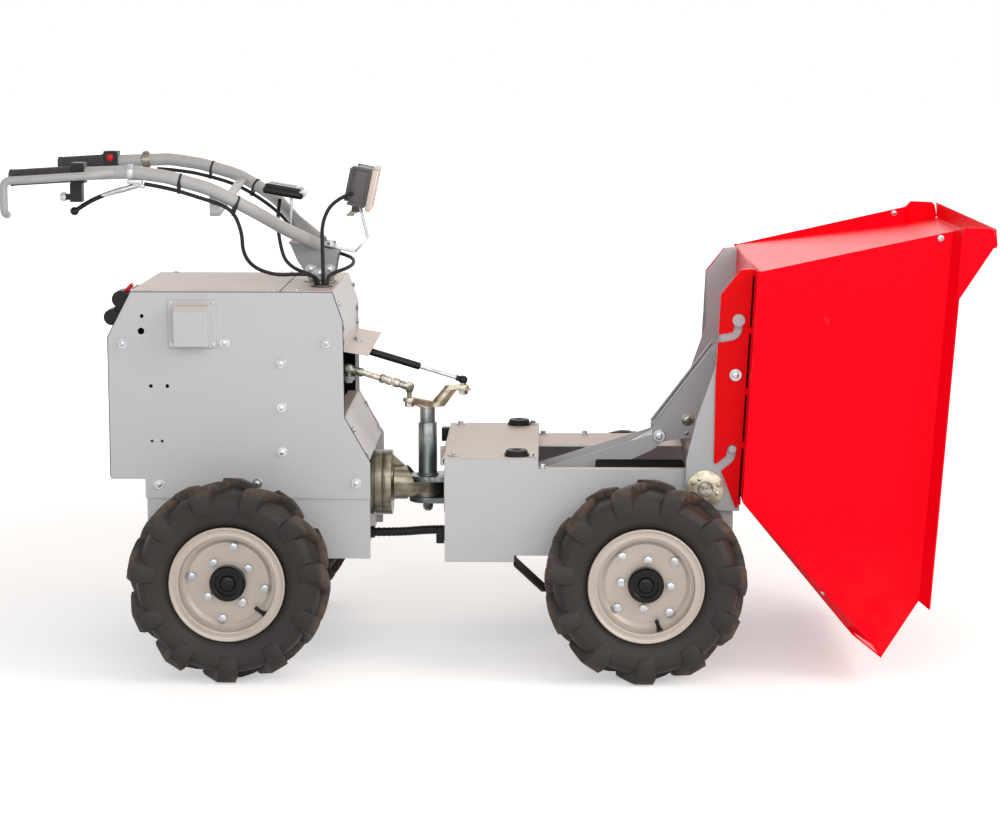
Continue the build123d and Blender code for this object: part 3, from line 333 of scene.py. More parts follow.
# ---------------------------------------------------------------- finishes
def coat(name, effects, colour, dust_top=0.42, dust=0.18, gloss=0.42, level=0.4, scuffs=0.0, sheen=0.0,
         painted_top_light=0.0):
    """Powder coat over sheet metal, dusty near the ground; painted_top_light is painted warm top light, a
    beige tint on faces that look up.
    """
    finish = Finish(name, effects)
    tone = finish.use("mottle", Colour=rgba(colour), Patch_Scale=3.5, Patch_Strength=0.07,
                      Fleck_Scale=420.0,
                      Fleck_Strength=0.06)
    dusty = finish.use("dust", Colour=tone["Colour"], Dust=rgba(paint_colour(150, 138, 124)), Bottom=0.12,
                       Top=dust_top,
                       Amount=dust)
    colour_out = dusty["Colour"]
    if scuffs:
        marks = finish.use("scuffs", Scale=3.0, Amount=scuffs)
        colour_out = mixed(finish.tree, marks["Mask"], colour_out, rgba([0.8 * c + 0.10 for c in colour]))
    rough = sums(finish.tree, "MULTIPLY_ADD", tone["Patch"], 0.12, gloss - 0.06)
    rough = sums(finish.tree, "MULTIPLY_ADD", dusty["Mask"], 0.4, rough, clamp=True)
    finish.set(Base_Color=colour_out, Roughness=rough, Specular_IOR_Level=level)
    # Painted top light: faces that look up are tinted beige, the warmth that a light from above gives them.
    if painted_top_light:
        up = node(finish.tree, "ShaderNodeSeparateXYZ",
                  {0: node(finish.tree, "ShaderNodeNewGeometry", {}).outputs["Normal"]})
        dust_and_top_light = ramp(finish.tree, up.outputs[2], 0.2, 0.95, 0.0, painted_top_light)
        finish.set(Base_Color=mixed(finish.tree, dust_and_top_light, colour_out, rgba(paint_colour(186, 156, 132))))
    if sheen:
        facing = node(finish.tree, "ShaderNodeLayerWeight", {"Blend": 0.5}).outputs["Facing"]
        finish.set(Coat_Weight=ramp(finish.tree, facing, 0.66, 0.9, 0.0, sheen), Coat_Roughness=0.3)
    finish.bump(finish.use("grain", Scale=520.0)["Height"], 0.00012, 0.5)
    return finish.material


def plated(name, effects, colour, second, scale=26.0, roughness_shift=0.0, stretch=(9.0, 60.0, 60.0)):
    """Zinc plate over steel."""
    finish = Finish(name, effects)
    look = finish.use("plating", Colour=rgba(colour), Second=rgba(second), Scale=scale, Stretch=stretch)
    rough = sums(finish.tree, "ADD", look["Rough"], 0.04 + roughness_shift, clamp=True)
    finish.set(Base_Color=look["Colour"], Metallic=0.85, Roughness=rough)
    finish.bump(finish.use("grain", Scale=700.0)["Height"], 0.00006, 0.5)
    return finish.material


def moulded(name, effects, colour, roughness=0.45, grain=900.0, height=0.00008, dust=0.0, level=0.25):
    """Moulded plastic or rubber."""
    finish = Finish(name, effects)
    tone = finish.use("mottle", Colour=rgba(colour), Patch_Scale=12.0, Patch_Strength=0.25,
                      Fleck_Scale=500.0,
                      Fleck_Strength=0.2)
    dusty = finish.use("dust", Colour=tone["Colour"], Dust=rgba(paint_colour(120, 110, 100)), Bottom=0.0,
                       Top=0.6, Amount=dust)
    rough = sums(finish.tree, "MULTIPLY_ADD", tone["Patch"], 0.2, roughness - 0.1)
    finish.set(Base_Color=dusty["Colour"], Roughness=rough, Specular_IOR_Level=level)
    finish.bump(finish.use("grain", Scale=grain)["Height"], height, 0.7)
    return finish.material


def grip_rubber(effects, colour):
    """Grip rubber with a pattern of small raised diamonds."""
    finish = Finish("grip_rubber", effects)
    tree = finish.tree
    tone = finish.use("mottle", Colour=rgba(colour), Patch_Scale=20.0, Patch_Strength=0.3,
                      Fleck_Scale=600.0,
                      Fleck_Strength=0.25)
    turned = node(tree, "ShaderNodeMapping", {"Vector": finish.place, "Rotation": (0.0, 0.785, 0.0),
                                              "Scale": (260.0, 90.0, 260.0)}).outputs[0]
    cells = node(tree, "ShaderNodeTexVoronoi", {"Vector": turned, "Scale": 1.0,
                                                "Randomness": 0.25}).outputs["Distance"]
    finish.set(Base_Color=tone["Colour"], Roughness=0.58)
    finish.bump(ramp(tree, cells, 0.2, 0.6, 1.0, 0.0), 0.0006, 0.9)
    return finish.material


def wheel_coat(effects, colour):
    """Sprayed silver with a soft metal glint."""
    finish = Finish("wheel_silver", effects)
    tone = finish.use("mottle", Colour=rgba(colour), Patch_Scale=9.0, Patch_Strength=0.12,
                      Fleck_Scale=900.0, Fleck_Strength=0.16)
    dusty = finish.use("dust", Colour=tone["Colour"], Dust=rgba(paint_colour(112, 100, 90)), Bottom=0.05,
                       Top=0.34, Amount=0.25)
    rough = sums(finish.tree, "MULTIPLY_ADD", tone["Patch"], 0.12, 0.34)
    finish.set(Base_Color=dusty["Colour"], Metallic=0.35, Roughness=rough)
    finish.bump(finish.use("grain", Scale=800.0)["Height"], 0.00008, 0.5)
    return finish.material


def tyre_rubber(effects, paints, name, centre, crown):
    """Tyre rubber: matt sidewall with fine moulding rings, dust on the tops of the lugs."""
    finish = Finish(name, effects)
    tree = finish.tree
    local = node(tree, "ShaderNodeMapping", {"Vector": finish.place, "Location": [-c for c in centre]},
                 vector_type="POINT").outputs[0]
    flat = node(tree, "ShaderNodeVectorMath", {0: local, 1: (1.0, 0.0, 1.0)},
                operation="MULTIPLY").outputs[0]
    radius = node(tree, "ShaderNodeVectorMath", {0: flat}, operation="LENGTH").outputs["Value"]
    tone = finish.use("mottle", Colour=rgba(paints.rubber), Patch_Scale=16.0, Patch_Strength=0.35,
                      Fleck_Scale=380.0,
                      Fleck_Strength=0.3)
    cloud = ramp(tree, noise(tree, finish.place, 26.0, 5.0, 0.65), 0.36, 0.66)
    high = ramp(tree, radius, crown - 0.006, crown + 0.015)
    mask = sums(tree, "MULTIPLY", sums(tree, "MULTIPLY", cloud, high), 0.55, clamp=True)
    dust_and_top_light = ramp(tree, noise(tree, finish.place, 7.0, 4.0), 0.4, 0.8, 0.0, 0.07)
    dusted = mixed(tree, sums(tree, "MAXIMUM", mask, dust_and_top_light), tone["Colour"], rgba(paints.tread_dust))
    finish.set(Base_Color=dusted, Roughness=sums(tree, "MULTIPLY_ADD", mask, 0.25, 0.52),
               Specular_IOR_Level=0.25)
    ring = sums(tree, "SINE", sums(tree, "MULTIPLY", radius, math.tau / 0.006))
    low = ramp(tree, radius, crown - 0.052, crown - 0.046, 1.0, 0.0)
    height = sums(tree, "MULTIPLY_ADD", sums(tree, "MULTIPLY", ring, low), 0.5,
                  finish.use("grain", Scale=420.0)["Height"])
    finish.bump(height, 0.0003, 0.8)
    return finish.material


def lamp_glass(effects):
    """Prismatic front glass over a bright reflector."""
    finish = Finish("lamp_glass", effects)
    cells = node(finish.tree, "ShaderNodeTexVoronoi", {"Vector": finish.place,
                                                       "Scale": 150.0}).outputs["Distance"]
    finish.set(Base_Color=(0.86, 0.88, 0.9, 1.0), Metallic=0.55, Roughness=0.12, Coat_Weight=1.0,
               Coat_Roughness=0.03)
    finish.bump(cells, 0.0012, 0.8)
    return finish.material


def make_finishes(paints):
    effects = make_effects()
    dark = paint_colour(34, 34, 36)
    zinc_cloud = [c * 0.72 for c in paints.zinc]
    return {
        # painted_top_light sets how much painted warm top light each grey takes on its upward faces.
        "grey": coat("grey_paint", effects, paints.grey, painted_top_light=0.62),
        "frame_grey": coat("frame_paint", effects, paint_colour(182, 187, 191), painted_top_light=0.1),
        "tube_grey": coat("handlebar_paint", effects, paint_colour(172, 174, 175), gloss=0.34, painted_top_light=0.2),
        "head_grey": coat("head_paint", effects, paint_colour(150, 153, 156), painted_top_light=0.35),
        "red": coat("red_paint", effects, paints.red, 0.3, 0.05, 0.42, 0.05, 0.2, 0.4),
        "rail": coat("rail_paint", effects, paints.rail_red, 0.3, 0.05, 0.42, 0.09),
        "black_coat": coat("black_paint", effects, dark, dust=0.3),
        "zinc": plated("zinc", effects, paints.zinc, zinc_cloud),
        "dark_zinc": plated("dark_zinc", effects, paint_colour(186, 183, 172), paint_colour(108, 103, 92),
                            60.0, 0.04),
        # For blue_zinc and yellow_zinc the stretch runs along the post and along the flange discs, so their
        # bands are partly painted reflection bands round these round parts.
        "blue_zinc": plated("blue_zinc", effects, paint_colour(188, 192, 188), paint_colour(104, 112, 112),
                            10.0, 0.04,
                            (40.0, 40.0, 1.5)),
        "yellow_zinc": plated("yellow_zinc", effects, paints.yellow_zinc, paint_colour(78, 74, 62), 14.0,
                              0.0, (1.5, 30.0, 30.0)),
        "arm_zinc": plated("arm_zinc", effects, paint_colour(204, 196, 176), paint_colour(158, 148, 126),
                           30.0, 0.1),
        "wheel": wheel_coat(effects, paints.wheel),
        "black": moulded("black_plastic", effects, paints.black, 0.42),
        "black_rubber": moulded("black_rubber", effects, paint_colour(26, 24, 23), 0.5, 500.0, 0.00015,
                                0.08),
        "grip": grip_rubber(effects, paint_colour(40, 38, 39)),
        "gloss_black": moulded("gloss_black", effects, paint_colour(9, 8, 8), 0.24, 900.0, 0.00003),
        # Painted shade: a dull near-black that stands in for the shade inside the housing, on the control box
        # and in the gap under the rails.
        "shade_black": moulded("painted_shade_black", effects, paint_colour(14, 14, 14), 0.9, 300.0, 0.0004, 0.0, 0.05),
        "lamp_body": moulded("lamp_body", effects, paint_colour(92, 90, 90), 0.4, 700.0, 0.0001),
        "button": moulded("button_red", effects, paints.button, 0.3),
        "ring": moulded("lamp_ring", effects, paints.lamp_ring, 0.4, 260.0, 0.0006),
        "clear": moulded("clear_knob", effects, paint_colour(222, 218, 214), 0.25, level=0.5),
        "glass": lamp_glass(effects),
        "effects": effects,
    }


CAD_FINISH = {
    "grey": ["rear_frame", "rear_panel_right", "rear_panel_left", "rear_back_panel", "rear_top_lid",
             "rear_front_cover",
             "rear_front_panel", "rear_lower_panel", "column_support", "socket_box", "front_chassis",
             "front_box_lid",
             "tip_arm"],
    "frame_grey": ["tip_frame", "tip_lever"],
    "tube_grey": ["handle_right", "handle_left", "hand_guard", "handle_bridge"],
    # control_box is black; the darker, duller finish it gets here is partly painted shade.
    "shade_black": ["control_box"],
    "head_grey": ["steering_head"],
    "red": ["skip_shell", "skip_side_right", "skip_side_left"],
    "rail": ["skip_rail_right", "skip_rail_left"],
    "black_coat": ["rear_axle", "front_axle", "skid_guard", "battery_pack"],
    "yellow_zinc": ["pivot_flange", "pivot_link", "steering_arm"],
    "blue_zinc": ["front_yoke"],
    "zinc": ["steering_rod", "tip_actuator_rod", "lamp_bracket"],
    "wheel": ["rear_right_rim", "rear_left_rim", "front_right_rim", "front_left_rim"],
    "black": ["main_switch", "throttle_pod", "brake_lever", "switch_pod", "display_unit", "work_lamp"],
    "black_rubber": ["rest_pads", "rear_conduit", "front_conduit", "lamp_cable", "grip_cable",
                     "rear_right_tyre",
                     "rear_left_tyre", "front_right_tyre", "front_left_tyre"],
    "gloss_black": ["steering_strut", "tip_actuator_barrel"],
    "grip": ["grip_right", "grip_left"],
}
# Model pieces whose cut edges are rolled, with the width of the roll in millimetres.
ROLLED = {
    "rear_panel_right": 0.7, "rear_panel_left": 0.7, "rear_top_lid": 0.8, "rear_back_panel": 0.7,
          "rear_front_panel": 0.7,
    "rear_lower_panel": 0.7, "socket_box": 1.5, "front_chassis": 1.0, "front_box_lid": 0.9,
          "skip_shell": 0.9,
    "skip_side_right": 0.9, "skip_side_left": 0.9, "skip_rail_right": 1.6, "skip_rail_left": 1.6,
          "tip_frame": 1.2,
    "tip_arm": 1.1, "tip_lever": 1.1, "steering_head": 1.0, "handle_bridge": 1.5, "control_box": 4.0,
          "main_switch": 2.0,
    "throttle_pod": 3.0, "switch_pod": 3.0, "steering_arm": 1.2, "front_yoke": 1.0, "pivot_link": 1.0,
          "lamp_bracket": 0.8,
    "battery_pack": 5.0, "rear_axle": 3.0, "front_axle": 3.0, "rear_frame": 0.9, "skid_guard": 1.5,
}
FINISHES = {}


def paint(obj, finish):
    obj.data.materials.clear()
    obj.data.materials.append(FINISHES[finish])


# ---------------------------------------------------------------- mesh building
def finished(name, bm, body, finish, angle=35, bevel=0.0):
    """Turns a bmesh into a piece that rides on a body."""
    bmesh.ops.remove_doubles(bm, verts=bm.verts, dist=1e-6)
    bmesh.ops.recalc_face_normals(bm, faces=bm.faces)
    if bevel:
        sharp = [e for e in bm.edges
                 if len(e.link_faces) == 2 and e.calc_face_angle() > math.radians(angle)]
        bmesh.ops.bevel(bm, geom=sharp, offset=bevel, offset_type="OFFSET", affect="EDGES", segments=2,
                        profile=0.5,
                        material=-1, clamp_overlap=True)
    mesh = bpy.data.meshes.new(name)
    bm.to_mesh(mesh)
    bm.free()
    mesh.polygons.foreach_set("use_smooth", [True] * len(mesh.polygons))
    mesh.set_sharp_from_angle(angle=math.radians(angle))
    obj = bpy.data.objects.new(name, mesh)
    bpy.context.scene.collection.objects.link(obj)
    paint(obj, finish)
    if body:
        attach(obj, body)
    return obj


def frame_at(point, direction):
    """Matrix that takes local +Z to a direction at a point."""
    turn = Vector((0, 0, 1)).rotation_difference(Vector(direction).normalized())
    return Matrix.Translation(Vector(point)) @ turn.to_matrix().to_4x4()


def absorb(bm, part, place):
    """Moves a part into place and adds it to a bmesh."""
    bmesh.ops.transform(part, matrix=place, verts=part.verts)
    mesh = bpy.data.meshes.new("part")
    part.to_mesh(mesh)
    part.free()
    bm.from_mesh(mesh)
    bpy.data.meshes.remove(mesh)


def add_turned(bm, place, outline, steps=40):
    """Turns an outline of (radius, height) points about local Z."""
    part = bmesh.new()
    verts = [part.verts.new((radius, 0, height)) for radius, height in outline]
    edges = [part.edges.new(pair) for pair in zip(verts, verts[1:])]
    bmesh.ops.spin(part, geom=verts + edges, cent=(0, 0, 0), axis=(0, 0, 1), angle=math.tau, steps=steps,
                   use_merge=True)
    bmesh.ops.remove_doubles(part, verts=part.verts, dist=1e-6)
    absorb(bm, part, place)


def add_cylinder(bm, place, radius, low, high, segments=24):
    shift = place @ Matrix.Translation((0, 0, (low + high) / 2))
    bmesh.ops.create_cone(bm, cap_ends=True, segments=segments, radius1=radius, radius2=radius,
                          depth=high - low, matrix=shift)


def add_box(bm, place, size, middle=(0, 0, 0)):
    shift = place @ Matrix.Translation(middle) @ Matrix.Diagonal((*size, 1))
    bmesh.ops.create_cube(bm, size=1.0, matrix=shift)


def add_bolt(bm, place, flats, head=None, washer=True, turn=0.0):
    """Hexagon head with a chamfered top, on a washer."""
    head = head or flats * 0.55
    thick = flats * 0.14 if washer else 0.0
    if washer:
        add_turned(bm, place, [(0, 0), (flats * 0.92, 0), (flats * 0.98, thick * 0.5),
                               (flats * 0.92, thick), (0, thick)], 24)
    spun = place @ Matrix.Rotation(turn, 4, "Z")
    corner = flats / 2 / math.cos(math.pi / 6)
    shift = spun @ Matrix.Translation((0, 0, thick + head * 0.45))
    bmesh.ops.create_cone(bm, cap_ends=True, segments=6, radius1=corner, radius2=corner, depth=head * 0.9,
                          matrix=shift)
    cap = spun @ Matrix.Translation((0, 0, thick + head * 0.95))
    bmesh.ops.create_cone(bm, cap_ends=True, segments=24, radius1=flats * 0.5, radius2=flats * 0.42,
                          depth=head * 0.1, matrix=cap)


def add_button(bm, place, width):
    """Low domed screw head on a washer."""
    r, h = width / 2, width * 0.28
    add_turned(bm, place, [(0, 0), (r * 1.35, 0), (r * 1.35, h * 0.3), (r, h * 0.35), (r * 0.93, h * 0.75),
                           (r * 0.6, h * 1.1),
                           (r * 0.32, h * 1.15), (r * 0.30, h * 0.7), (0, h * 0.7)], 24)


def route_points(points, resolution=10):
    """Points along the smooth line of a route, in metres."""
    curve = bpy.data.curves.new("route", "CURVE")
    curve.dimensions = "3D"
    curve.resolution_u = resolution
    spline = curve.splines.new("NURBS")
    spline.points.add(len(points) - 1)
    for target, point in zip(spline.points, points):
        target.co = (*[value * MM for value in point], 1.0)
    spline.order_u = 3
    spline.use_endpoint_u = True
    holder = bpy.data.objects.new("route", curve)
    mesh = bpy.data.meshes.new_from_object(holder)
    line = [vert.co.copy() for vert in mesh.vertices]
    bpy.data.objects.remove(holder)
    bpy.data.meshes.remove(mesh)
    bpy.data.curves.remove(curve)
    return line


def add_tube(bm, line, radius, segments=12, swell=None):
    """Tube round a line of points; swell gives the share of the radius at each point's number."""
    rings = []
    side = None
    for i, point in enumerate(line):
        ahead = (line[min(i + 1, len(line) - 1)] - line[max(i - 1, 0)]).normalized()
        if side is None:
            side = ahead.orthogonal().normalized()
        side = (side - ahead * side.dot(ahead)).normalized()
        across = ahead.cross(side)
        size = radius * (swell(i) if swell else 1.0)
        circle = bmesh.ops.create_circle(bm, cap_ends=False, segments=segments, radius=size)["verts"]
        turn = Matrix((side, across, ahead)).transposed().to_4x4()
        bmesh.ops.transform(bm, matrix=Matrix.Translation(point) @ turn, verts=circle)
        rings.append(circle)
    for near, far in zip(rings, rings[1:]):
        loops = [e for ring in (near, far) for v in ring for e in v.link_edges if e.other_vert(v) in ring]
        bmesh.ops.bridge_loops(bm, edges=list(set(loops)))
    for ring in (rings[0], rings[-1]):
        bmesh.ops.contextual_create(bm, geom=ring)


def round_cord(name, points, radius, finish="black_rubber", swell=None, segments=12, resolution=10):
    """Tube piece along a route, with its line of points."""
    line = route_points(points, resolution)
    bm = bmesh.new()
    add_tube(bm, line, radius, segments, swell)
    return finished(name, bm, None, finish, angle=60), line


def bolts(name, body, places, flats, washer=True, finish="zinc", head=None):
    """Hexagon bolts at (point, direction) places."""
    bm = bmesh.new()
    for number, (point, direction) in enumerate(places):
        add_bolt(bm, frame_at(point, direction), flats, head, washer, turn=0.4 * number)
    return finished(name, bm, body, finish)


def buttons(name, body, places, width):
    """Round screw heads at (point, direction) places."""
    bm = bmesh.new()
    for point, direction in places:
        add_button(bm, frame_at(point, direction), width)
    return finished(name, bm, body, "zinc")


def turned_piece(name, body, point, direction, outline, finish, steps=48, angle=30):
    """Piece turned about a direction, from (radius, height) points in millimetres."""
    bm = bmesh.new()
    add_turned(bm, frame_at(point, direction), [(r * MM, h * MM) for r, h in outline], steps)
    return finished(name, bm, body, finish, angle=angle)


def add_swept(bm, outline, half, place=None):
    """Closed outline of (x, z) points swept across from -half to half, all in millimetres."""
    part = bmesh.new()
    face = part.faces.new([part.verts.new((x * MM, -half * MM, z * MM)) for x, z in outline])
    pushed = bmesh.ops.extrude_face_region(part, geom=[face])["geom"]
    bmesh.ops.translate(part, verts=[v for v in pushed if isinstance(v, bmesh.types.BMVert)],
                        vec=(0, 2 * half * MM, 0))
    bmesh.ops.recalc_face_normals(part, faces=part.faces)
    absorb(bm, part, place or Matrix.Identity(4))


def add_rounded_box(bm, place, size, middle=(0, 0, 0), radius=2.0, segments=3):
    """Box with rolled edges, in millimetres."""
    part = bmesh.new()
    bmesh.ops.create_cube(part, size=1.0,
                          matrix=Matrix.Translation(Vector(middle) * MM) @ Matrix.Diagonal((*[s * MM
                                  for s in size], 1)))
    bmesh.ops.bevel(part, geom=part.edges[:], offset=radius * MM, offset_type="OFFSET", affect="EDGES",
                    segments=segments,
                    profile=0.5, material=-1, clamp_overlap=True)
    absorb(bm, part, place)


def rounded_box(name, body, place, size, middle, radius, finish):
    bm = bmesh.new()
    add_rounded_box(bm, place, size, middle, radius)
    return finished(name, bm, body, finish, angle=40)


def add_bead(bm, point, along, size):
    """Weld tack: a ball stretched along the seam."""
    part = bmesh.new()
    bmesh.ops.create_icosphere(part, subdivisions=2, radius=1.0,
                               matrix=Matrix.Diagonal((size[1], size[1], size[0], 1)))
    absorb(bm, part, frame_at(point, along))


def both(points):
    """Each point and its mirror image on the machine's other side."""
    return [Vector((p[0], side * p[1], p[2])) for side in (-1, 1) for p in points]


# ---------------------------------------------------------------- places from the frame
JOINTS = {joint["name"]: joint for joint in frame["joints"]}
UP, DOWN, AHEAD, BACK = (0, 0, 1), (0, 0, -1), (1, 0, 0), (-1, 0, 0)


def pivot(joint):
    return Vector(JOINTS[joint]["pos_m"])


def mm(x, y, z):
    return Vector((x, y, z)) * MM


def middle_of(node_name):
    low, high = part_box(node_name)
    return (low + high) / 2


def wheel_centre(wheel):
    return middle_of(f"{wheel}_tyre")


REAR_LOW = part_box("rear_panel_right")[0]
REAR_HALF = -REAR_LOW.y
BOX_HALF = -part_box("front_box_lid")[0].y
TIP = pivot("tip")
TIP_ANGLE = math.radians(JOINTS["tip"]["range_deg"][1])
SKIP_TURN = Matrix.Rotation(TIP_ANGLE, 4, "Y")


def on_panel(back, up):
    """x and z on the rear side panel, in millimetres from its rear lower corner."""
    return REAR_LOW.x + back * MM, REAR_LOW.z + up * MM


def on_skip(u, y, w):
    """Point of the tipped skip, from its level place: u forward and w up of the tipping pin, in mm."""
    return TIP + SKIP_TURN @ mm(u, y, w)


def skip_way(u, y, w):
    return SKIP_TURN @ Vector((u, y, w))


# ---------------------------------------------------------------- cables
# The routes that the model's own cables follow, in millimetres.
LAMP_CABLE = [(-300, -61, 974), (-340, -64, 960), (-364, -76, 915), (-362, -90, 865), (-360, -103, 825),
              (-360, -103.5, 785.8)]
RIGHT_LEAD = [(-705, -255, 1004), (-655, -256, 996), (-590, -252, 975), (-532, -238, 955),
              (-512, -234, 908),
              (-512, -226, 862), (-492, -206, 830), (-450, -174, 812), (-408, -144, 812), (-383, -128, 809),
              (-369, -119.8, 800), (-368.7, -119.6, 785.8)]
LEFT_LEAD = [(-758, 253, 1007), (-700, 252, 1003), (-640, 249, 990), (-582, 243.5, 973), (-530, 228, 945),
             (-482, 193, 914),
             (-440, 125, 880), (-398, 76, 853), (-346, 67, 839), (-308, 35, 830), (-302, -18, 822),
             (-314, -62, 816),
             (-333, -90, 812), (-346, -107, 806), (-350.7, -113.2, 797), (-351, -113.5, 785.8)]
DISPLAY_LEAD = [(-470, 95, 950), (-474, 78, 912), (-468, 44, 880), (-458, 0, 853), (-446, -44, 832),
                (-424, -78, 818),
                (-401, -97, 811), (-383, -105, 806), (-375, -108, 797), (-374.7, -108.3, 785.8)]
LEADS = {"lamp_lead": (LAMP_CABLE, "lamp_cable"), "right_lead": (RIGHT_LEAD, "grip_cable"),
         "left_lead": (LEFT_LEAD, "grip_cable"), "display_lead": (DISPLAY_LEAD, "grip_cable")}
CABLE_RADIUS = 4 * MM
CONDUIT = [(-272, 0, 240), (-210, 0, 240), (-148.5, 0, 246), (-103, 0, 246)]
CONDUIT_RADIUS = 10 * MM
# Ties: a point on the handle tube, the lead's middle beside it, and the way that the tube runs there.
TIES = [((-635, -248, 1011), (-635, -255, 989), (-85, -7, 24)),
        ((-524, -225, 966), (-528, -237, 943), (-82, -29, 45)),
        ((-635, 248, 1011), (-640, 249, 990), (-85, 7, 24)),
        ((-536, 229, 973), (-546, 232, 953), (-82, 29, 45))]


def hang(name, points, node_name):
    """Cable from the handlebar down to the rubber plug in the cover."""
    piece, line = round_cord(name, points, CABLE_RADIUS)
    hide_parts(node_name)
    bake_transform(piece)


class DUMPER_OT_cables(bpy.types.Operator):
    """Makes the cables that hang between the handlebar and the cover, and the sleeve between the bodies"""

    bl_idname = "dumper.cables"
    bl_label = "Cables"

    def execute(self, context):
        for name, (points, node_name) in LEADS.items():
            hang(name, points, node_name)
        sleeve, _ = round_cord("sleeve", CONDUIT, CONDUIT_RADIUS, swell=lambda i: 1.0 if i % 2 else 0.88,
                               segments=20,
                                  resolution=14)
        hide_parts("rear_conduit", "front_conduit")
        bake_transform(sleeve)
        bm = bmesh.new()
        for tube, lead, way in TIES:
            add_tie(bm, mm(*tube), mm(*lead), way)
        finished("cable_ties", bm, "handlebar", "black")
        top = Vector((-0.362, -0.110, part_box("rear_front_cover")[1].z))
        turned_piece("cable_plug", "rear_chassis", top, UP,
                     [(0, 0.25), (18.5, 0.25), (20.6, -0.8), (20.8, -2.6), (23.5, -2.8), (23.8, -3.4),
                      (20, -3.6), (0, -3.6)],
                     "black_rubber")
        return {"FINISHED"}


def add_tie(bm, tube, lead, way):
    """Flat band drawn round a handle tube and the lead under it."""
    part = bmesh.new()
    turn = frame_at((0, 0, 0), way)
    for middle, radius in ((tube, 14.4 * MM), (lead, 5.4 * MM)):
        for shift in (-2.2 * MM, 2.2 * MM):
            bmesh.ops.create_circle(part, segments=24, radius=radius,
                                    matrix=Matrix.Translation(middle) @ turn @ Matrix.Translation((0, 0,
                                                                                                   shift)))
    hull = bmesh.ops.convex_hull(part, input=part.verts)
    spare = {v for v in hull["geom_interior"] + hull["geom_unused"] if isinstance(v, bmesh.types.BMVert)}
    bmesh.ops.delete(part, geom=list(spare), context="VERTS")
    absorb(bm, part, Matrix.Identity(4))


# ---------------------------------------------------------------- camera and studio
class DUMPER_OT_camera(bpy.types.Operator):
    """Puts the camera beside the machine"""

    bl_idname = "dumper.camera"
    bl_label = "Camera"

    def execute(self, context):
        studio = context.scene.dumper_studio
        data = bpy.data.cameras.new("camera")
        data.lens = studio.lens
        data.sensor_width = 36
        data.clip_end = 100
        camera = bpy.data.objects.new("camera", data)
        camera.location = (studio.shift, -studio.distance, studio.height)
        camera.rotation_euler = (math.radians(90) - studio.pitch, 0, studio.yaw)
        context.scene.collection.objects.link(camera)
        context.scene.camera = camera
        return {"FINISHED"}


def soft_light(name, place, aim, size, power, colour=(1, 1, 1)):
    data = bpy.data.lights.new(name, "AREA")
    data.shape = "RECTANGLE"
    data.size, data.size_y = size
    data.energy = power
    data.color = colour
    light = bpy.data.objects.new(name, data)
    light.location = place
    light.rotation_euler = (Vector(aim) - Vector(place)).to_track_quat("-Z", "Y").to_euler()
    bpy.context.scene.collection.objects.link(light)


def seen_rays(tree):
    """1 for rays that should meet the white ground: straight, mirrored or through glass."""
    path = tree.nodes.new("ShaderNodeLightPath").outputs
    straight = sums(tree, "MAXIMUM", path["Is Camera Ray"], path["Is Glossy Ray"])
    return sums(tree, "MAXIMUM", straight, path["Is Transmission Ray"])


class DUMPER_OT_stage(bpy.types.Operator):
    """Makes the pale floor, the white surroundings and the soft lights"""

    bl_idname = "dumper.stage"
    bl_label = "Stage"

    def execute(self, context):
        studio = context.scene.dumper_studio
        scene = context.scene
        scene.view_settings.view_transform = "Standard"
        world = bpy.data.worlds.new("studio")
        world.use_nodes = True
        scene.world = world
        tree = world.node_tree
        background = tree.nodes["Background"]
        background.inputs["Color"].default_value = (1, 1, 1, 1)
        lit = sums(tree, "MAXIMUM", seen_rays(tree), studio.sky)
        tree.links.new(lit, background.inputs["Strength"])
        bm = bmesh.new()
        bmesh.ops.create_grid(bm, x_segments=1, y_segments=1, size=40)
        mesh = bpy.data.meshes.new("floor")
        bm.to_mesh(mesh)
        bm.free()
        floor = bpy.data.objects.new("floor", mesh)
        scene.collection.objects.link(floor)
        material = bpy.data.materials.new("floor")
        material.use_nodes = True
        net = material.node_tree
        shader = net.nodes["Principled BSDF"]
        shader.inputs["Base Color"].default_value = (0.8, 0.8, 0.8, 1)
        shader.inputs["Roughness"].default_value = 0.9
        shader.inputs["Emission Color"].default_value = (1, 1, 1, 1)
        place = net.nodes.new("ShaderNodeTexCoord").outputs["Object"]
        away = node(net, "ShaderNodeVectorMath", {0: place}, operation="LENGTH").outputs["Value"]
        glow = sums(net, "MULTIPLY", seen_rays(net), ramp(net, away, 1.2, 5.0, 0.42, 1.0))
        net.links.new(glow, shader.inputs["Emission Strength"])
        mesh.materials.append(material)
        soft_light("key", (0.3, -4.2, 2.3), (0, 0, 0.5), (5.0, 3.0), studio.key)
        soft_light("top", (0.6, 0.3, 4.2), (0, 0, 0), (4.5, 3.0), studio.key * 0.36, (1.0, 0.76, 0.62))
        soft_light("front", (3.6, -1.6, 2.6), (-0.2, 0, 0.5), (2.6, 2.6), studio.fill * 4.5,
                   (1.0, 0.93, 0.89))
        soft_light("rear", (-4.2, -1.0, 1.8), (0, 0, 0.5), (2.4, 2.4), studio.fill * 0.5)
        soft_light("far", (0, 4.5, 2.2), (0, 0, 0.5), (4.0, 2.4), studio.fill)
        return {"FINISHED"}


# ---------------------------------------------------------------- finishes on the model's own pieces
def soften(obj, width):
    """Rolls the sharp edges of a model piece."""
    weld = obj.modifiers.new("weld", "WELD")
    weld.merge_threshold = 1e-5
    bevel = obj.modifiers.new("edge", "BEVEL")
    bevel.width = width
    bevel.segments = 2
    bevel.limit_method = "ANGLE"
    bevel.angle_limit = math.radians(40)


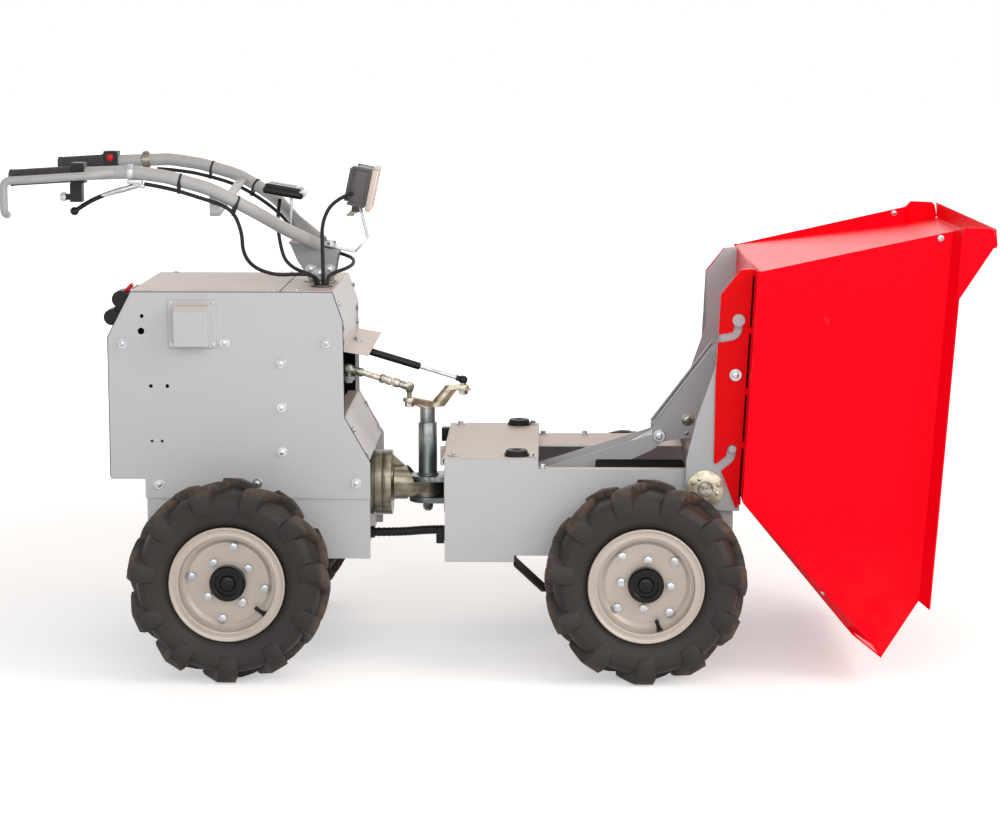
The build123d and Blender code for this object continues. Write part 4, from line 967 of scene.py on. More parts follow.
class DUMPER_OT_finishes(bpy.types.Operator):
    """Gives every piece of the model its paint, plate or rubber"""

    bl_idname = "dumper.finishes"
    bl_label = "Finishes"

    def execute(self, context):
        paints = context.scene.dumper_paints
        FINISHES.update(make_finishes(paints))
        for finish, names in CAD_FINISH.items():
            for name in names:
                paint(frame["nodes"][name], finish)
        missing = sorted(set(frame["nodes"]) - {n for names in CAD_FINISH.values() for n in names})
        if missing:
            raise RuntimeError(f"no finish for {missing}")
        return {"FINISHED"}


# ---------------------------------------------------------------- tyres
def casing_outline(half, crown, low):
    """Half section of a tyre casing as (radius, outboard) points, from bead to bead."""
    flank = [(low, half * 0.66), (low + 8 * MM, half * 0.80), (low + 16 * MM, half * 0.88),
             (low + 17.5 * MM, half * 0.905),
             (low + 20 * MM, half * 0.905), (low + 21.5 * MM, half * 0.925), (low + 36 * MM, half * 0.985),
             (low + 50 * MM, half),
             (crown - 24 * MM, half * 0.99), (crown - 12 * MM, half * 0.90), (crown - 5 * MM, half * 0.72),
             (crown - 1 * MM, half * 0.40)]
    return flank + [(crown, 0)] + [(radius, -out) for radius, out in reversed(flank)]


# Stations of a lug: share of the sweep, then the foot and the top as (radius from the crown,
# share of half width), and the lug's half width as a share of its shoulder width.
LUG_STATIONS = [
    (1.15, (-6, -0.10), (15.5, -0.10), 0.20),
    (0.95, (-6, 0.06), (17.0, 0.06), 0.27),
    (0.60, (-7, 0.34), (17.0, 0.34), 0.34),
    (0.28, (-9, 0.62), (16.5, 0.66), 0.42),
    (0.08, (-14, 0.84), (14.5, 0.92), 0.50),
    (0.00, (-20, 0.90), (5.0, 1.06), 0.50),
    (-0.04, (-30, 0.93), (-12.0, 1.09), 0.44),
    (-0.06, (-42, 0.94), (-36.0, 1.045), 0.36),
]


def lug(side, half, crown, sweep, width):
    """One chevron lug: a subdivided bar bent over the crown and down the shoulder."""
    count = len(LUG_STATIONS)
    bar = bmesh.new()
    bmesh.ops.create_cube(bar, size=1.0)
    long = [e for e in bar.edges if abs(e.verts[0].co.x - e.verts[1].co.x) > 0.5]
    bmesh.ops.subdivide_edges(bar, edges=long, cuts=count - 2)
    for vert in bar.verts:
        turn, foot, top, share = LUG_STATIONS[round((vert.co.x + 0.5) * (count - 1))]
        drop, out = top if vert.co.z > 0 else foot
        radius = crown + drop * MM
        spread = share * width * (1.0 if vert.co.z > 0 else 1.22)
        theta = turn * sweep + math.copysign(spread / radius, vert.co.y)
        vert.co = (radius * math.sin(theta), side * out * half, radius * math.cos(theta))
    return bar


class DUMPER_OT_tyres(bpy.types.Operator):
    """Makes the tyres with their chevron lugs"""

    bl_idname = "dumper.tyres"
    bl_label = "Tyres"

    def execute(self, context):
        sizes = context.scene.dumper_tyres
        paints = context.scene.dumper_paints
        for wheel, side in WHEELS:
            low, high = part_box(f"{wheel}_tyre")
            centre = (low + high) / 2
            half = (high.y - low.y) / 2
            FINISHES[f"{wheel}_rubber"] = tyre_rubber(FINISHES["effects"], paints, f"{wheel}_rubber",
                                                      centre, sizes.crown)
            bm = bmesh.new()
            bead = (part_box(f"{wheel}_rim")[1].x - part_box(f"{wheel}_rim")[0].x) / 2 - 1.5 * MM
            add_turned(bm, Matrix.Translation(centre) @ Matrix.Rotation(math.radians(-90), 4, "X"),
                       casing_outline(half, sizes.crown, bead), 96)
            casing = finished(f"{wheel}_casing", bm, f"{wheel}_wheel", f"{wheel}_rubber", angle=50)
            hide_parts(f"{wheel}_tyre")
            bm = bmesh.new()
            for flank in (RIGHT, LEFT):
                for i in range(sizes.lugs):
                    turn = math.tau * (i + (0.5 if flank == side else 0.0)) / sizes.lugs
                    place = Matrix.Translation(centre) @ Matrix.Rotation(turn, 4, "Y")
                    absorb(bm, lug(flank, half, sizes.crown, sizes.sweep, sizes.lug_width), place)
            finished(f"{wheel}_lugs", bm, f"{wheel}_wheel", f"{wheel}_rubber", angle=50,
                     bevel=1.6 * MM)
        return {"FINISHED"}


# ---------------------------------------------------------------- wheels
HUB_TURN = {"rear": math.radians(35.5), "front": math.radians(85)}
VALVE_TURN = {"rear": math.radians(-41), "front": math.radians(-73)}
DISC_OUT = 20 * MM
# Black cover of the hub's nose, as (radius, outboard) in millimetres.
HUB_COVER = [(36.4, 19.8), (36.4, 37.6), (33.4, 41.4), (27.4, 41.4), (25.2, 39.8), (24.4, 32.5),
             (16.5, 32.5), (16.4, 37.2),
             (14.0, 40.0), (9.0, 41.6), (0, 42.2)]


class DUMPER_OT_wheel_fittings(bpy.types.Operator):
    """Adds the wheels' bolts, black hub covers and valves"""

    bl_idname = "dumper.wheel_fittings"
    bl_label = "Wheel fittings"

    def execute(self, context):
        sizes = context.scene.dumper_fasteners
        for wheel, side in WHEELS:
            end = wheel.split("_")[0]
            body = f"{wheel}_wheel"
            centre = wheel_centre(wheel)
            heads = bmesh.new()
            for circle, shift in ((sizes.hub_circle, 0), (sizes.rim_circle, math.pi / 4)):
                for k in range(4):
                    turn = HUB_TURN[end] + shift + k * math.pi / 2
                    at = centre + Vector((circle * math.cos(turn), side * DISC_OUT,
                                          circle * math.sin(turn)))
                    add_bolt(heads, frame_at(at, (0, side, 0)), sizes.wheel_bolt, None, False, 0.3 * k)
            finished(f"{wheel}_bolts", heads, body, "zinc")
            turned_piece(f"{wheel}_hub_cover", body, centre, (0, side, 0), HUB_COVER, "gloss_black")
            lip = (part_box(f"{wheel}_rim")[1].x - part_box(f"{wheel}_rim")[0].x) / 2 / MM
            seat = 46.0
            turned_piece(f"{wheel}_rim_lips", body, centre, (0, side, 0),
                         [(lip - 19, seat - 6), (lip - 18.4, seat + 0.4), (lip - 16, seat + 1.4),
                          (lip - 13.5, seat + 0.5),
                          (lip - 6.5, seat + 0.3), (lip - 4.6, seat + 1.2), (lip - 3.2, seat + 2.8),
                          (lip - 1.2, seat + 3.2),
                          (lip + 0.4, seat + 2.2), (lip + 0.8, seat), (lip + 0.3, seat - 2.5)], "wheel",
                          96, 60)
            spoke = Vector((math.cos(VALVE_TURN[end]), 0, math.sin(VALVE_TURN[end])))
            root = centre + spoke * 99 * MM + mm(0, side * 29, 0)
            tip = centre + spoke * 74 * MM + mm(0, side * 38, 0)
            reach = (tip - root).length / MM
            turned_piece(f"{wheel}_valve", body, root, tip - root,
                         [(0, 0), (6.5, 0), (6.5, 3), (4.4, 5), (4.0, reach * 0.62), (3.2, reach * 0.64),
                          (3.2, reach * 0.68),
                          (4.2, reach * 0.70), (4.2, reach - 1), (3, reach), (0, reach)], "black",
                          20, 35)
        return {"FINISHED"}


# ---------------------------------------------------------------- rear housing
# Side panel bolts, from the panel's rear lower corner, in millimetres.
PANEL_BOLTS = [(30.5, 323), (241.5, 325), (450.5, 325), (357.5, 283), (357.5, 191), (357.5, 98)]
SKIRT_BOLTS = [(100.5, 29), (304.5, 32), (510.5, 33)]
LID_SCREWS = [(37, 10), (293, 10), (340, 10)]
SOCKET_SCREWS = [(7, 93), (93, 93), (7, 7), (93, 7)]
# Corners of the housing's side that show a dark seam, from the panel's rear lower corner.
SEAM = [(0, 45), (0, 337), (49, 430), (464, 430), (485, 369), (487, 170), (540, 76), (540, 2)]


def slope_places(node_name, share, inset):
    """Places on both sides of a cover's front slope, a share of the way down it, with the way it faces."""
    low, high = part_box(node_name)
    top, foot = Vector((low.x + 25 * MM, 0, high.z)), Vector((high.x, 0, low.z))
    down = foot - top
    face = Vector((-down.z, 0, down.x))
    return [(top + down * share + Vector((0, side * (high.y - inset * MM), 0)), face)
            for side in (RIGHT, LEFT)]


class DUMPER_OT_housing(bpy.types.Operator):
    """Adds the rear housing's bolts, dark seams, socket screws, switch lever and painted shade sheets inside
    it
    """

    bl_idname = "dumper.housing"
    bl_label = "Housing"

    def execute(self, context):
        width = context.scene.dumper_fasteners.panel_bolt
        places = []
        for side in (RIGHT, LEFT):
            for back, up in PANEL_BOLTS + SKIRT_BOLTS:
                x, z = on_panel(back, up)
                places.append((Vector((x, side * REAR_HALF, z)), (0, side, 0)))
        bolts("panel_bolts", "rear_chassis", places, width)
        lid_low, lid_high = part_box("rear_top_lid")
        tops = both([(lid_low.x + x * MM, lid_high.y - y * MM, lid_high.z) for x, y in LID_SCREWS])
        back_low, back_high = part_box("rear_back_panel")
        rears = both([(back_low.x, back_high.y - 17 * MM, back_low.z + z * MM) for z in (60, 190, 320)])
        step = both([(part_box("rear_frame")[0].x, 0.16, 0.30)])
        buttons("cover_screws", "rear_chassis", [(p, UP) for p in tops] + [(p, BACK) for p in rears + step],
                10 * MM)
        panel_low, panel_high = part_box("rear_front_panel")
        upright = Vector((panel_low.x + 2.5 * MM, 0, panel_high.z))
        fronts = [(upright + mm(0, side * 189, z), AHEAD) for side in (RIGHT, LEFT) for z in (-12, -40)]
        cover_low, cover_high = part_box("rear_front_cover")
        slope = Vector((cover_high.x, 0, cover_low.z)) - mm(21, 0, -61)
        run = mm(21, 0, -61)
        fronts += [(slope + run * 0.4 + mm(0, side * 188, 0), (-run.z, 0, run.x)) for side in (RIGHT, LEFT)]
        fronts += slope_places("rear_lower_panel", 0.30, 12) + slope_places("rear_lower_panel", 0.86, 12)
        bolts("front_bolts", "rear_chassis", fronts, 10 * MM, washer=False)
        box_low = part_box("socket_box")[0]
        skin = -REAR_HALF - 1.5 * MM
        buttons("socket_screws", "rear_chassis",
                [(Vector((box_low.x + x * MM, skin + 1.4 * MM, box_low.z + z * MM)), (0, -1, 0)) for x,
                 z in SOCKET_SCREWS], 7 * MM)
        bm = bmesh.new()
        for side in (RIGHT, LEFT):
            line = [Vector((*[c for c in (on_panel(back, up)[0], side * (REAR_HALF - 0.25 * MM),
                                          on_panel(back, up)[1])],))
                    for back, up in SEAM]
            for start, end in zip(line, line[1:]):
                add_cylinder(bm, frame_at(start, end - start), 0.85 * MM, 0, (end - start).length, 8)
        finished("panel_seams", bm, "rear_chassis", "black", angle=60)
        # Painted shade: thin near-black sheets inside the housing's sides and back stand in for the shade
        # behind its open front.
        bm = bmesh.new()
        for side in (RIGHT, LEFT):
            add_box(bm, Matrix.Identity(4), (0.376, 0.0014, 0.262),
                    (-0.506, side * (REAR_HALF - 3.4 * MM), 0.530))
        add_box(bm, Matrix.Identity(4), (0.0014, 0.38, 0.25), (-0.70, 0, 0.530))
        finished("painted_shade_black", bm, "rear_chassis", "shade_black")
        bm = bmesh.new()
        add_swept(bm, [(-791, 762.5), (-783, 755.5), (-767.4, 776.6), (-772.2, 783)], 9.6,
                  Matrix.Translation(mm(0, -40, 0)))
        add_swept(bm, [(-794, 763), (-788, 754), (-784, 757), (-786, 766)], 13,
                  Matrix.Translation(mm(0, -40, 0)))
        finished("switch_lever", bm, "rear_chassis", "button", angle=40, bevel=1.2 * MM)
        return {"FINISHED"}


# ---------------------------------------------------------------- turning joint
class DUMPER_OT_pivot(bpy.types.Operator):
    """Makes the slewing discs and adds the nuts, welds and stops round the turning joint"""

    bl_idname = "dumper.pivot"
    bl_label = "Turning joint"

    def execute(self, context):
        low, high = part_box("pivot_flange")
        radius = (high.z - low.z) / 2 / MM
        centre = Vector((low.x, 0, (low.z + high.z) / 2))
        discs = turned_piece("slewing_discs", "rear_chassis", centre, AHEAD,
                             [(0, 0), (radius - 1, 0), (radius, 1), (radius, 9.4), (radius - 1.2, 10.4),
                              (radius - 5, 10.6),
                              (radius - 5, 12.4), (radius - 1.2, 12.6), (radius, 13.6), (radius, 27.8),
                              (radius - 1.5, 29),
                              (0, 29)], "yellow_zinc", 72)
        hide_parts("pivot_flange")
        axis = pivot("articulation")
        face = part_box("pivot_link")[0].x + 19 * MM
        turned_piece("link_weld", "rear_chassis", (face, 0, axis.z), AHEAD,
                     [(36.5, 0), (42, 0), (41, 2), (38.5, 4), (36.5, 5)], "yellow_zinc", 48,
                     60)
        yoke_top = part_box("front_yoke")[1].z
        foot = axis.z + 17 * MM
        turned_piece("post_weld", "front_frame", (axis.x, 0, foot), UP,
                     [(19.5, 0), (24, 0), (23.4, 1.6), (21.6, 3.4), (20.4, 4.4), (19.5, 5)], "blue_zinc",
                     48, 60)
        turned_piece("post_neck", "front_frame", (axis.x, 0, yoke_top), UP,
                     [(16.4, -2), (19.2, -1.6), (19.8, -0.8), (19.4, 0.4), (16.4, 0.8), (16.4, 34.6),
                      (0, 34.6)], "blue_zinc", 48)
        self.steering_arm(axis)
        back_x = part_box("front_chassis")[0].x
        rounded_box("sleeve_gland", "front_frame", Matrix.Identity(4), (28, 34, 30),
                    (back_x / MM - 13.6, 0, 233), 2.5, "black")
        rounded_box("stop_rubber", "front_frame", Matrix.Identity(4), (18, 26, 30),
                    (back_x / MM - 15.5, BOX_HALF / MM - 22, 421), 2.5, "black")
        rounded_box("lock_plate", "front_frame", Matrix.Identity(4), (16, 10, 40),
                    (back_x / MM - 7.8, -60, 418), 1.2, "grey")
        for x, name in ((-0.2675, "rear"), (-0.107, "front")):
            turned_piece(f"sleeve_{name}_cuff", "rear_chassis" if name == "rear" else "front_frame",
                         (x, 0, 0.240 if name == "rear" else 0.246), AHEAD,
                         [(9.4, -4.4), (12.2, -4.4), (12.8, -3.6), (12.8, 3.2), (12.2, 4), (9.4, 4)],
                         "black", 32)
        return {"FINISHED"}

    def steering_arm(self, axis):
        """Pin, nut and two-way arm: discs joined by plates, down to the rod and up to the strut."""
        centre = (axis.x / MM, 0)
        rod_end = pivot("steering_rod_swing") + mm(127, 20, 0)
        bm = bmesh.new()
        hub = (*centre, 515, 523, 23)
        rod_lug = (rod_end.x / MM, rod_end.y / MM, 533.5, 541.5, 13.5)
        bend = (-126, 0, 515.5, 523.5, 14.5)
        rise = (-97, 0, 552.5, 560.5, 13)
        strut_lug = (-72, 0, 553, 561, 13)
        for start, end in ((hub, rod_lug), (hub, bend), (bend, rise), (rise, strut_lug)):
            add_link_plate(bm, start, end)
        arm = finished("steering_plate", bm, "front_frame", "arm_zinc", angle=30,
                       bevel=0.8 * MM)
        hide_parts("steering_arm")
        bm = bmesh.new()
        low = axis.z - 40 * MM
        place = frame_at((axis.x, 0, low), DOWN)
        add_turned(bm, place, [(r * MM, h * MM) for r,
                               h in [(0, -60), (15.6, -60), (15.6, 0), (19, 0), (19.4, 0.6), (19.4, 2.2),
                                                            (19, 2.8), (0, 2.8)]], 40)
        add_bolt(bm, place @ Matrix.Translation((0, 0, 2.6 * MM)), 21 * MM, 13 * MM, False, 0.4)
        for k in range(6):
            tooth = place @ Matrix.Rotation(0.4 + k * math.pi / 3, 4, "Z")
            add_rounded_box(bm, tooth, (4.4, 5.6, 5), (7.4, 0, 17.4), 0.8, 2)
        add_cylinder(bm, place, 5.4 * MM, 0, 22 * MM, 20)
        finished("castle_nut", bm, "front_frame", "dark_zinc")


def add_link_plate(bm, start, end):
    """Plate that joins two discs, each given as x, y, low z, high z and radius in millimetres."""
    part = bmesh.new()
    for x, y, low, high, radius in (start, end):
        for z in (low, high):
            bmesh.ops.create_circle(part, segments=36, radius=radius * MM,
                                    matrix=Matrix.Translation(mm(x, y, z)))
    hull = bmesh.ops.convex_hull(part, input=part.verts)
    spare = {v for v in hull["geom_interior"] + hull["geom_unused"] if isinstance(v, bmesh.types.BMVert)}
    bmesh.ops.delete(part, geom=list(spare), context="VERTS")
    absorb(bm, part, Matrix.Identity(4))


# ---------------------------------------------------------------- steering rod and strut
def rod_outline(reach):
    """Steering rod between its ball housings: lock nuts, threads and the adjusting sleeve, in millimetres."""
    return [(0, 4), (8.4, 4), (8.6, 6), (8.6, 18), (7.4, 19), (7.4, 22), (9.2, 22.2), (9.2, 31.8),
            (7.2, 32), (6.2, 34),
            (6.2, reach - 66), (7.2, reach - 65), (9.6, reach - 64), (9.8, reach - 63), (9.8, reach - 56),
            (8.4, reach - 55),
            (8.4, reach - 50), (9.4, reach - 49), (9.4, reach - 42), (8.4, reach - 41), (8.4, reach - 35),
            (9.6, reach - 34),
            (9.6, reach - 24), (8.0, reach - 22), (7.6, reach - 16), (8.6, reach - 14), (8.6, reach - 4),
            (0, reach - 4)]


def add_ball_joint(bm, centre, radius, stud_end, boot):
    """Round joint housing with a pressed cover, and its stud running down to a height."""
    add_turned(bm, frame_at(centre, (0, -1, 0)),
               [(0, -radius), (radius * 0.5, -radius * 0.92), (radius * 0.86, -radius * 0.6),
                (radius, -radius * 0.3),
                (radius * 1.04, 0), (radius, radius * 0.35), (radius * 0.82, radius * 0.66),
                (radius * 0.6, radius * 0.72),
                (radius * 0.55, radius * 0.6), (0, radius * 0.62)], 36)
    drop = (centre.z - stud_end) / MM
    add_turned(bm, frame_at(centre, DOWN), [(0, 3 * MM), (boot, radius * 0.8), (boot * 0.8, radius * 1.15),
                                            (5 * MM, radius * 1.2),
                                            (5 * MM, drop * MM), (0, drop * MM)], 24)


class DUMPER_OT_steering(bpy.types.Operator):
    """Makes the steering rod and dresses the centring strut and their lugs"""

    bl_idname = "dumper.steering"
    bl_label = "Steering"

    def execute(self, context):
        rear = pivot("steering_rod_swing")
        rod_low, rod_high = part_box("steering_rod")
        front = Vector((rod_high.x - 8.5 * MM, rod_high.y - 8.5 * MM, 0.565))
        if front.y < rear.y:
            front.y = rod_low.y + 8.5 * MM
        bm = bmesh.new()
        reach = (front - rear).length
        add_turned(bm, frame_at(rear, front - rear), [(r * MM, h * MM) for r, h in rod_outline(reach / MM)],
                   28)
        add_ball_joint(bm, rear, 10.2 * MM, 0.577, 8 * MM)
        add_ball_joint(bm, front, 10.2 * MM, 0.5423, 8 * MM)
        for share, flats in ((0.19, 15), (0.72, 17)):
            place = frame_at(rear.lerp(front, share), front - rear)
            bmesh.ops.create_cone(bm, cap_ends=True, segments=6, radius1=flats * 0.577 * MM,
                                  radius2=flats * 0.577 * MM,
                                  depth=6.5 * MM, matrix=place)
        rod = finished("adjusting_rod", bm, "steering_rod", "dark_zinc", angle=32)
        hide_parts("steering_rod")
        bolts("rod_front_nut", "front_frame", [(Vector((front.x, front.y, 0.5335)), DOWN)], 17 * MM, False,
              "dark_zinc", 12 * MM)
        bolts("rod_rear_nut", "handlebar", [(Vector((rear.x, rear.y, 0.582)), DOWN)], 15 * MM, False,
              "zinc", 6 * MM)
        joint = pivot("steering_strut_swing")
        end = Vector((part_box("steering_strut")[1].x - 9 * MM, 0, 0.572))
        middle = mm(-166, 0, 601)
        body_way = (middle - mm(-292, 0, 639)).normalized()
        rod_way = (end - middle).normalized()
        run = (end - middle).length / MM
        turned_piece("strut_rod", "steering_strut", middle, rod_way,
                     [(0, -2), (4.5, -2), (4.5, run - 18), (5.4, run - 17.5), (5.4, run - 9), (0, run - 7)],
                     "zinc", 28)
        turned_piece("strut_gland", "steering_strut", middle, body_way,
                     [(0, -0.6), (8.3, -0.6), (8.3, 0.4), (7.4, 1.4), (5.2, 1.6), (5.2, 2.6), (0, 2.6)],
                     "gloss_black")
        bm = bmesh.new()
        for way, flats, tall, start in ((UP, 13, 5, 0.0), (DOWN, 18, 10, -8.0)):
            place = frame_at((end.x, 0, 0.561 + start * MM), way)
            add_bolt(bm, place, flats * MM, tall * MM, way is DOWN, 0.2)
        finished("strut_nuts", bm, "front_frame", "dark_zinc")
        turned_piece("strut_socket", "steering_strut", end, rod_way,
                     [(0, -16), (5.6, -16), (6.2, -15), (6.2, -9), (8.4, -5), (9.5, 0), (8.4, 5), (5, 8.4),
                      (0, 9.4)],
                     "gloss_black", 36)
        bolts("strut_rear_nut", "rear_chassis", [(Vector((joint.x, 0, 0.6555)), UP)], 13 * MM, True)
        return {"FINISHED"}


# ---------------------------------------------------------------- handlebar
def grip_outline(length):
    """Grip sleeve in millimetres: closed rear end, shallow rings, and a collar in front."""
    outline = [(0, 0), (14.5, 0), (17.2, 1.5), (17.6, 4), (16.9, 7)]
    rings = int((length - 18) / 5)
    for k in range(rings):
        start = 8 + k * 5
        outline += [(16.6, start), (16.6, start + 3.2), (15.6, start + 3.8), (15.6, start + 4.6)]
    return outline + [(16.6, length - 9), (16.8, length - 6), (18.4, length - 4.5), (18.6, length - 1),
                      (17.6, length), (13.7, length)]


class DUMPER_OT_handlebar(bpy.types.Operator):
    """Makes the grips and dresses the controls, the clamp, the display and the head of the handlebar"""

    bl_idname = "dumper.handlebar"
    bl_label = "Handlebar"

    def execute(self, context):
        rise = 8 / 131
        for name, side in (("right", RIGHT), ("left", LEFT)):
            low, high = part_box(f"grip_{name}")
            length = (high.x - low.x) / MM
            start = Vector((low.x + 1 * MM, side * (abs(low.y + high.y) / 2), low.z + 16.6 * MM))
            bm = bmesh.new()
            add_turned(bm, frame_at(start, (1, 0, rise)),
                       [(r * MM, h * MM) for r, h in grip_outline(length - 1)], 40)
            grip = finished(f"grip_sleeve_{name}", bm, "handlebar", "grip", angle=50)
            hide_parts(f"grip_{name}")
        thumb = mm(-868, -253, 978)
        turned_piece("thumb_knob", "handlebar", thumb, BACK,
                     [(0, -9), (4.5, -9), (4.5, -5), (7.5, -4.5), (9.4, -2), (9.6, 2), (7.6, 6), (4, 8),
                      (0, 8.4)], "clear",
                     28)
        pod_low, pod_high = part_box("switch_pod")
        at = Vector(((pod_low.x + pod_high.x) / 2 - 1 * MM, pod_low.y, pod_low.z + 24 * MM))
        turned_piece("stop_button", "handlebar", at, (0, -1, 0),
                     [(0, -1), (7.6, -1), (7.6, 1.2), (7, 1.8), (6.4, 1.8), (6.2, 3.8), (5, 5.2), (2.6, 6),
                      (0, 6.2)], "button",
                     32)
        rounded_box("pod_rocker", "handlebar", Matrix.Identity(4), (13, 16, 5),
                    ((pod_low.x + pod_high.x) / 2 / MM, 253, pod_high.z / MM - 1.8), 1.6, "black")
        clamp = mm(-782, 253, 1025.4)
        bm = bmesh.new()
        add_turned(bm, frame_at(clamp, (1, 0, 0.035)), [(r * MM, h * MM) for r, h in
                                                       [(13.6, -8), (16.2, -8), (17, -7), (17, 7),
                                                        (16.2, 8), (13.6, 8)]], 40)
        for up in (1, -1):
            add_rounded_box(bm, Matrix.Translation(clamp), (13, 15, 5), (0, 0, up * 17.2), 1.2, 2)
            add_cylinder(bm, frame_at(clamp, (0, 0, up)), 2.6 * MM, 18 * MM, 21.4 * MM, 16)
        finished("mirror_clamp", bm, "handlebar", "yellow_zinc", angle=32)
        self.brake_lever()
        self.display()
        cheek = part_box("steering_head")[1].y
        heads = [(p, (0, math.copysign(1, p.y), 0)) for p in both([(-0.352, cheek, 0.812),
                (-0.372, cheek, 0.803), (-0.392, cheek, 0.812)])]
        bolts("head_bolts", "handlebar", heads, 12 * MM)
        slope = Vector((19, 0, 104)).normalized()
        tops = [(mm(-352, y, 859.5), slope) for y in (-26, 26)] + [(mm(-355, 0, 862), slope)]
        bolts("bracket_bolts", "handlebar", tops, 13 * MM)
        return {"FINISHED"}

    def brake_lever(self):
        """Perch under the right tube, the lever's metal root, its black sleeve and ball."""
        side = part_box("brake_lever")
        y = (side[0].y + side[1].y) / 2 / MM
        perch = mm(-732, y, 1027.4)
        bm = bmesh.new()
        add_turned(bm, frame_at(perch, (1, 0, 0.035)), [(r * MM, h * MM) for r, h in
                                                       [(13.6, -6), (15.4, -6), (16, -5), (16, 5),
                                                        (15.4, 6), (13.6, 6)]], 40)
        add_rounded_box(bm, Matrix.Translation(mm(-724, y, 1008)), (32, 13, 10), (0, 0, 0), 3, 2)
        add_rounded_box(bm, Matrix.Translation(mm(-716, y, 1001)) @ Matrix.Rotation(math.radians(12), 4,
                                                                                    "Y"), (26, 11, 9),
                        (0, 0, 0), 3, 2)
        line = route_points([(-712, y, 1003), (-740, y, 995), (-768, y, 988), (-792, y, 980)])
        add_tube(bm, line, 5.2 * MM, 14, swell=lambda i: 1.15 - 0.45 * abs(i / (len(line) - 1) - 0.4))
        lever = finished("brake_perch", bm, "handlebar", "zinc", angle=35)
        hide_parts("brake_lever")
        bm = bmesh.new()
        line = route_points([(-786, y, 982), (-806, y, 974), (-828, y, 962), (-846, y, 950)])
        add_tube(bm, line, 4.6 * MM, 14)
        bmesh.ops.create_icosphere(bm, subdivisions=4, radius=8.6 * MM,
                                   matrix=Matrix.Translation(mm(-848, y, 949)))
        finished("brake_sleeve", bm, "handlebar", "gloss_black", angle=60)
        buttons("perch_screws", "handlebar", [(mm(-734, y - 6.2, 1008), (0, -1, 0)),
                                              (mm(-714, y - 6.2, 1004), (0, -1, 0))], 6 * MM)

    def display(self):
        """Low black display with a pale front edge on a slim bracket."""
        tilt = Matrix.Translation(mm(-459, 95, 966)) @ Matrix.Rotation(math.radians(10), 4, "Y")
        bm = bmesh.new()
        add_rounded_box(bm, tilt, (88, 90, 15), (0, 0, 0), 6)
        add_rounded_box(bm, tilt, (78, 80, 12), (-2, 0, 9), 5)
        case = finished("display_case", bm, "handlebar", "gloss_black", angle=40)
        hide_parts("display_unit")
        bm = bmesh.new()
        add_rounded_box(bm, tilt, (12, 84, 11), (38.5, 0, 5), 4.5)
        add_rounded_box(bm, tilt, (66, 66, 2), (-4, 0, 15), 0.9, 2)
        finished("display_edge", bm, "handlebar", "clear", angle=40)
        rounded_box("display_glass", "handlebar", tilt, (56, 50, 1.4), (-4, 0, 16.2), 0.6, "gloss_black")
        rounded_box("display_bracket", "handlebar", Matrix.Identity(4), (5, 16, 78), (-446, 106, 919), 1.2,
                    "zinc")


# ---------------------------------------------------------------- work lamp
class DUMPER_OT_lamp(bpy.types.Operator):
    """Makes the work lamp with its finned body, ring and glass, and the wing nut of its bracket"""

    bl_idname = "dumper.lamp"
    bl_label = "Work lamp"

    def execute(self, context):
        place = Matrix.Translation(mm(-284, 0, 985)) @ Matrix.Rotation(math.radians(12), 4, "Y")
        bm = bmesh.new()
        add_rounded_box(bm, place, (40, 108, 80), (-2, 0, 0), 9)
        add_rounded_box(bm, place, (10, 92, 64), (-24, 0, 0), 4)
        for k in range(7):
            add_rounded_box(bm, place, (9, 3.2, 70), (-25.5, -42 + 14 * k, 0), 1.2, 2)
        for side in (-1, 1):
            for z in (-38, 38):
                add_rounded_box(bm, place, (38, 6, 7), (-3, side * 52.5, z), 2.5, 2)
            add_rounded_box(bm, place, (7, 5, 78), (14, side * 53, 0), 2, 2)
        add_rounded_box(bm, place, (18, 15, 16), (-4, 0, -48), 3)
        body = finished("lamp_case", bm, "handlebar", "lamp_body", angle=40)
        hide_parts("work_lamp")
        bm = bmesh.new()
        for size, middle in (((11, 120, 8), (23, 0, 43)), ((11, 120, 8), (23, 0, -43)),
                             ((11, 8, 94), (23, 56, 0)),
                             ((11, 8, 94), (23, -56, 0))):
            add_rounded_box(bm, place, size, middle, 3, 3)
        finished("lamp_bezel", bm, "handlebar", "ring", angle=40)
        rounded_box("lamp_front", "handlebar", place, (5, 108, 82), (23.5, 0, 0), 2, "glass")
        bm = bmesh.new()
        walk = [mm(-372, 0, 862.3), mm(-300, 0, 849.1), mm(-276, 0, 876), mm(-291, 0, 940)]
        for start, end in zip(walk, walk[1:]):
            way = (end - start).normalized()
            across = Vector((-way.z, 0, way.x))
            turn = Matrix((way, Vector((0, -1, 0)), way.cross(Vector((0, -1, 0))))).transposed().to_4x4()
            middle = (start + end) / 2 - across * 2 * MM
            add_rounded_box(bm, Matrix.Translation(middle) @ turn, ((end - start).length / MM + 4, 29, 5.2),
                            (0, 0, 0), 1.8, 2)
        strap = finished("lamp_strap", bm, "handlebar", "zinc", angle=40)
        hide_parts("lamp_bracket")
        nut = mm(-300, 0, 930)
        bm = bmesh.new()
        way = (-0.93, 0, -0.37)
        add_turned(bm, frame_at(nut, way), [(0, -14 * MM), (3.4 * MM, -14 * MM), (3.4 * MM, 4 * MM),
                                            (6.5 * MM, 4 * MM),
                                            (6 * MM, 12 * MM), (3 * MM, 13 * MM), (3 * MM, 19 * MM),
                                            (0, 19 * MM)], 24)
        for side in (-1, 1):
            add_rounded_box(bm, frame_at(nut, way) @ Matrix.Rotation(math.radians(38 * side), 4, "X"),
                            (3, 9, 13),
                            (0, side * 4, 12), 1.2, 2)
        finished("wing_nut", bm, "handlebar", "dark_zinc", angle=32)
        return {"FINISHED"}


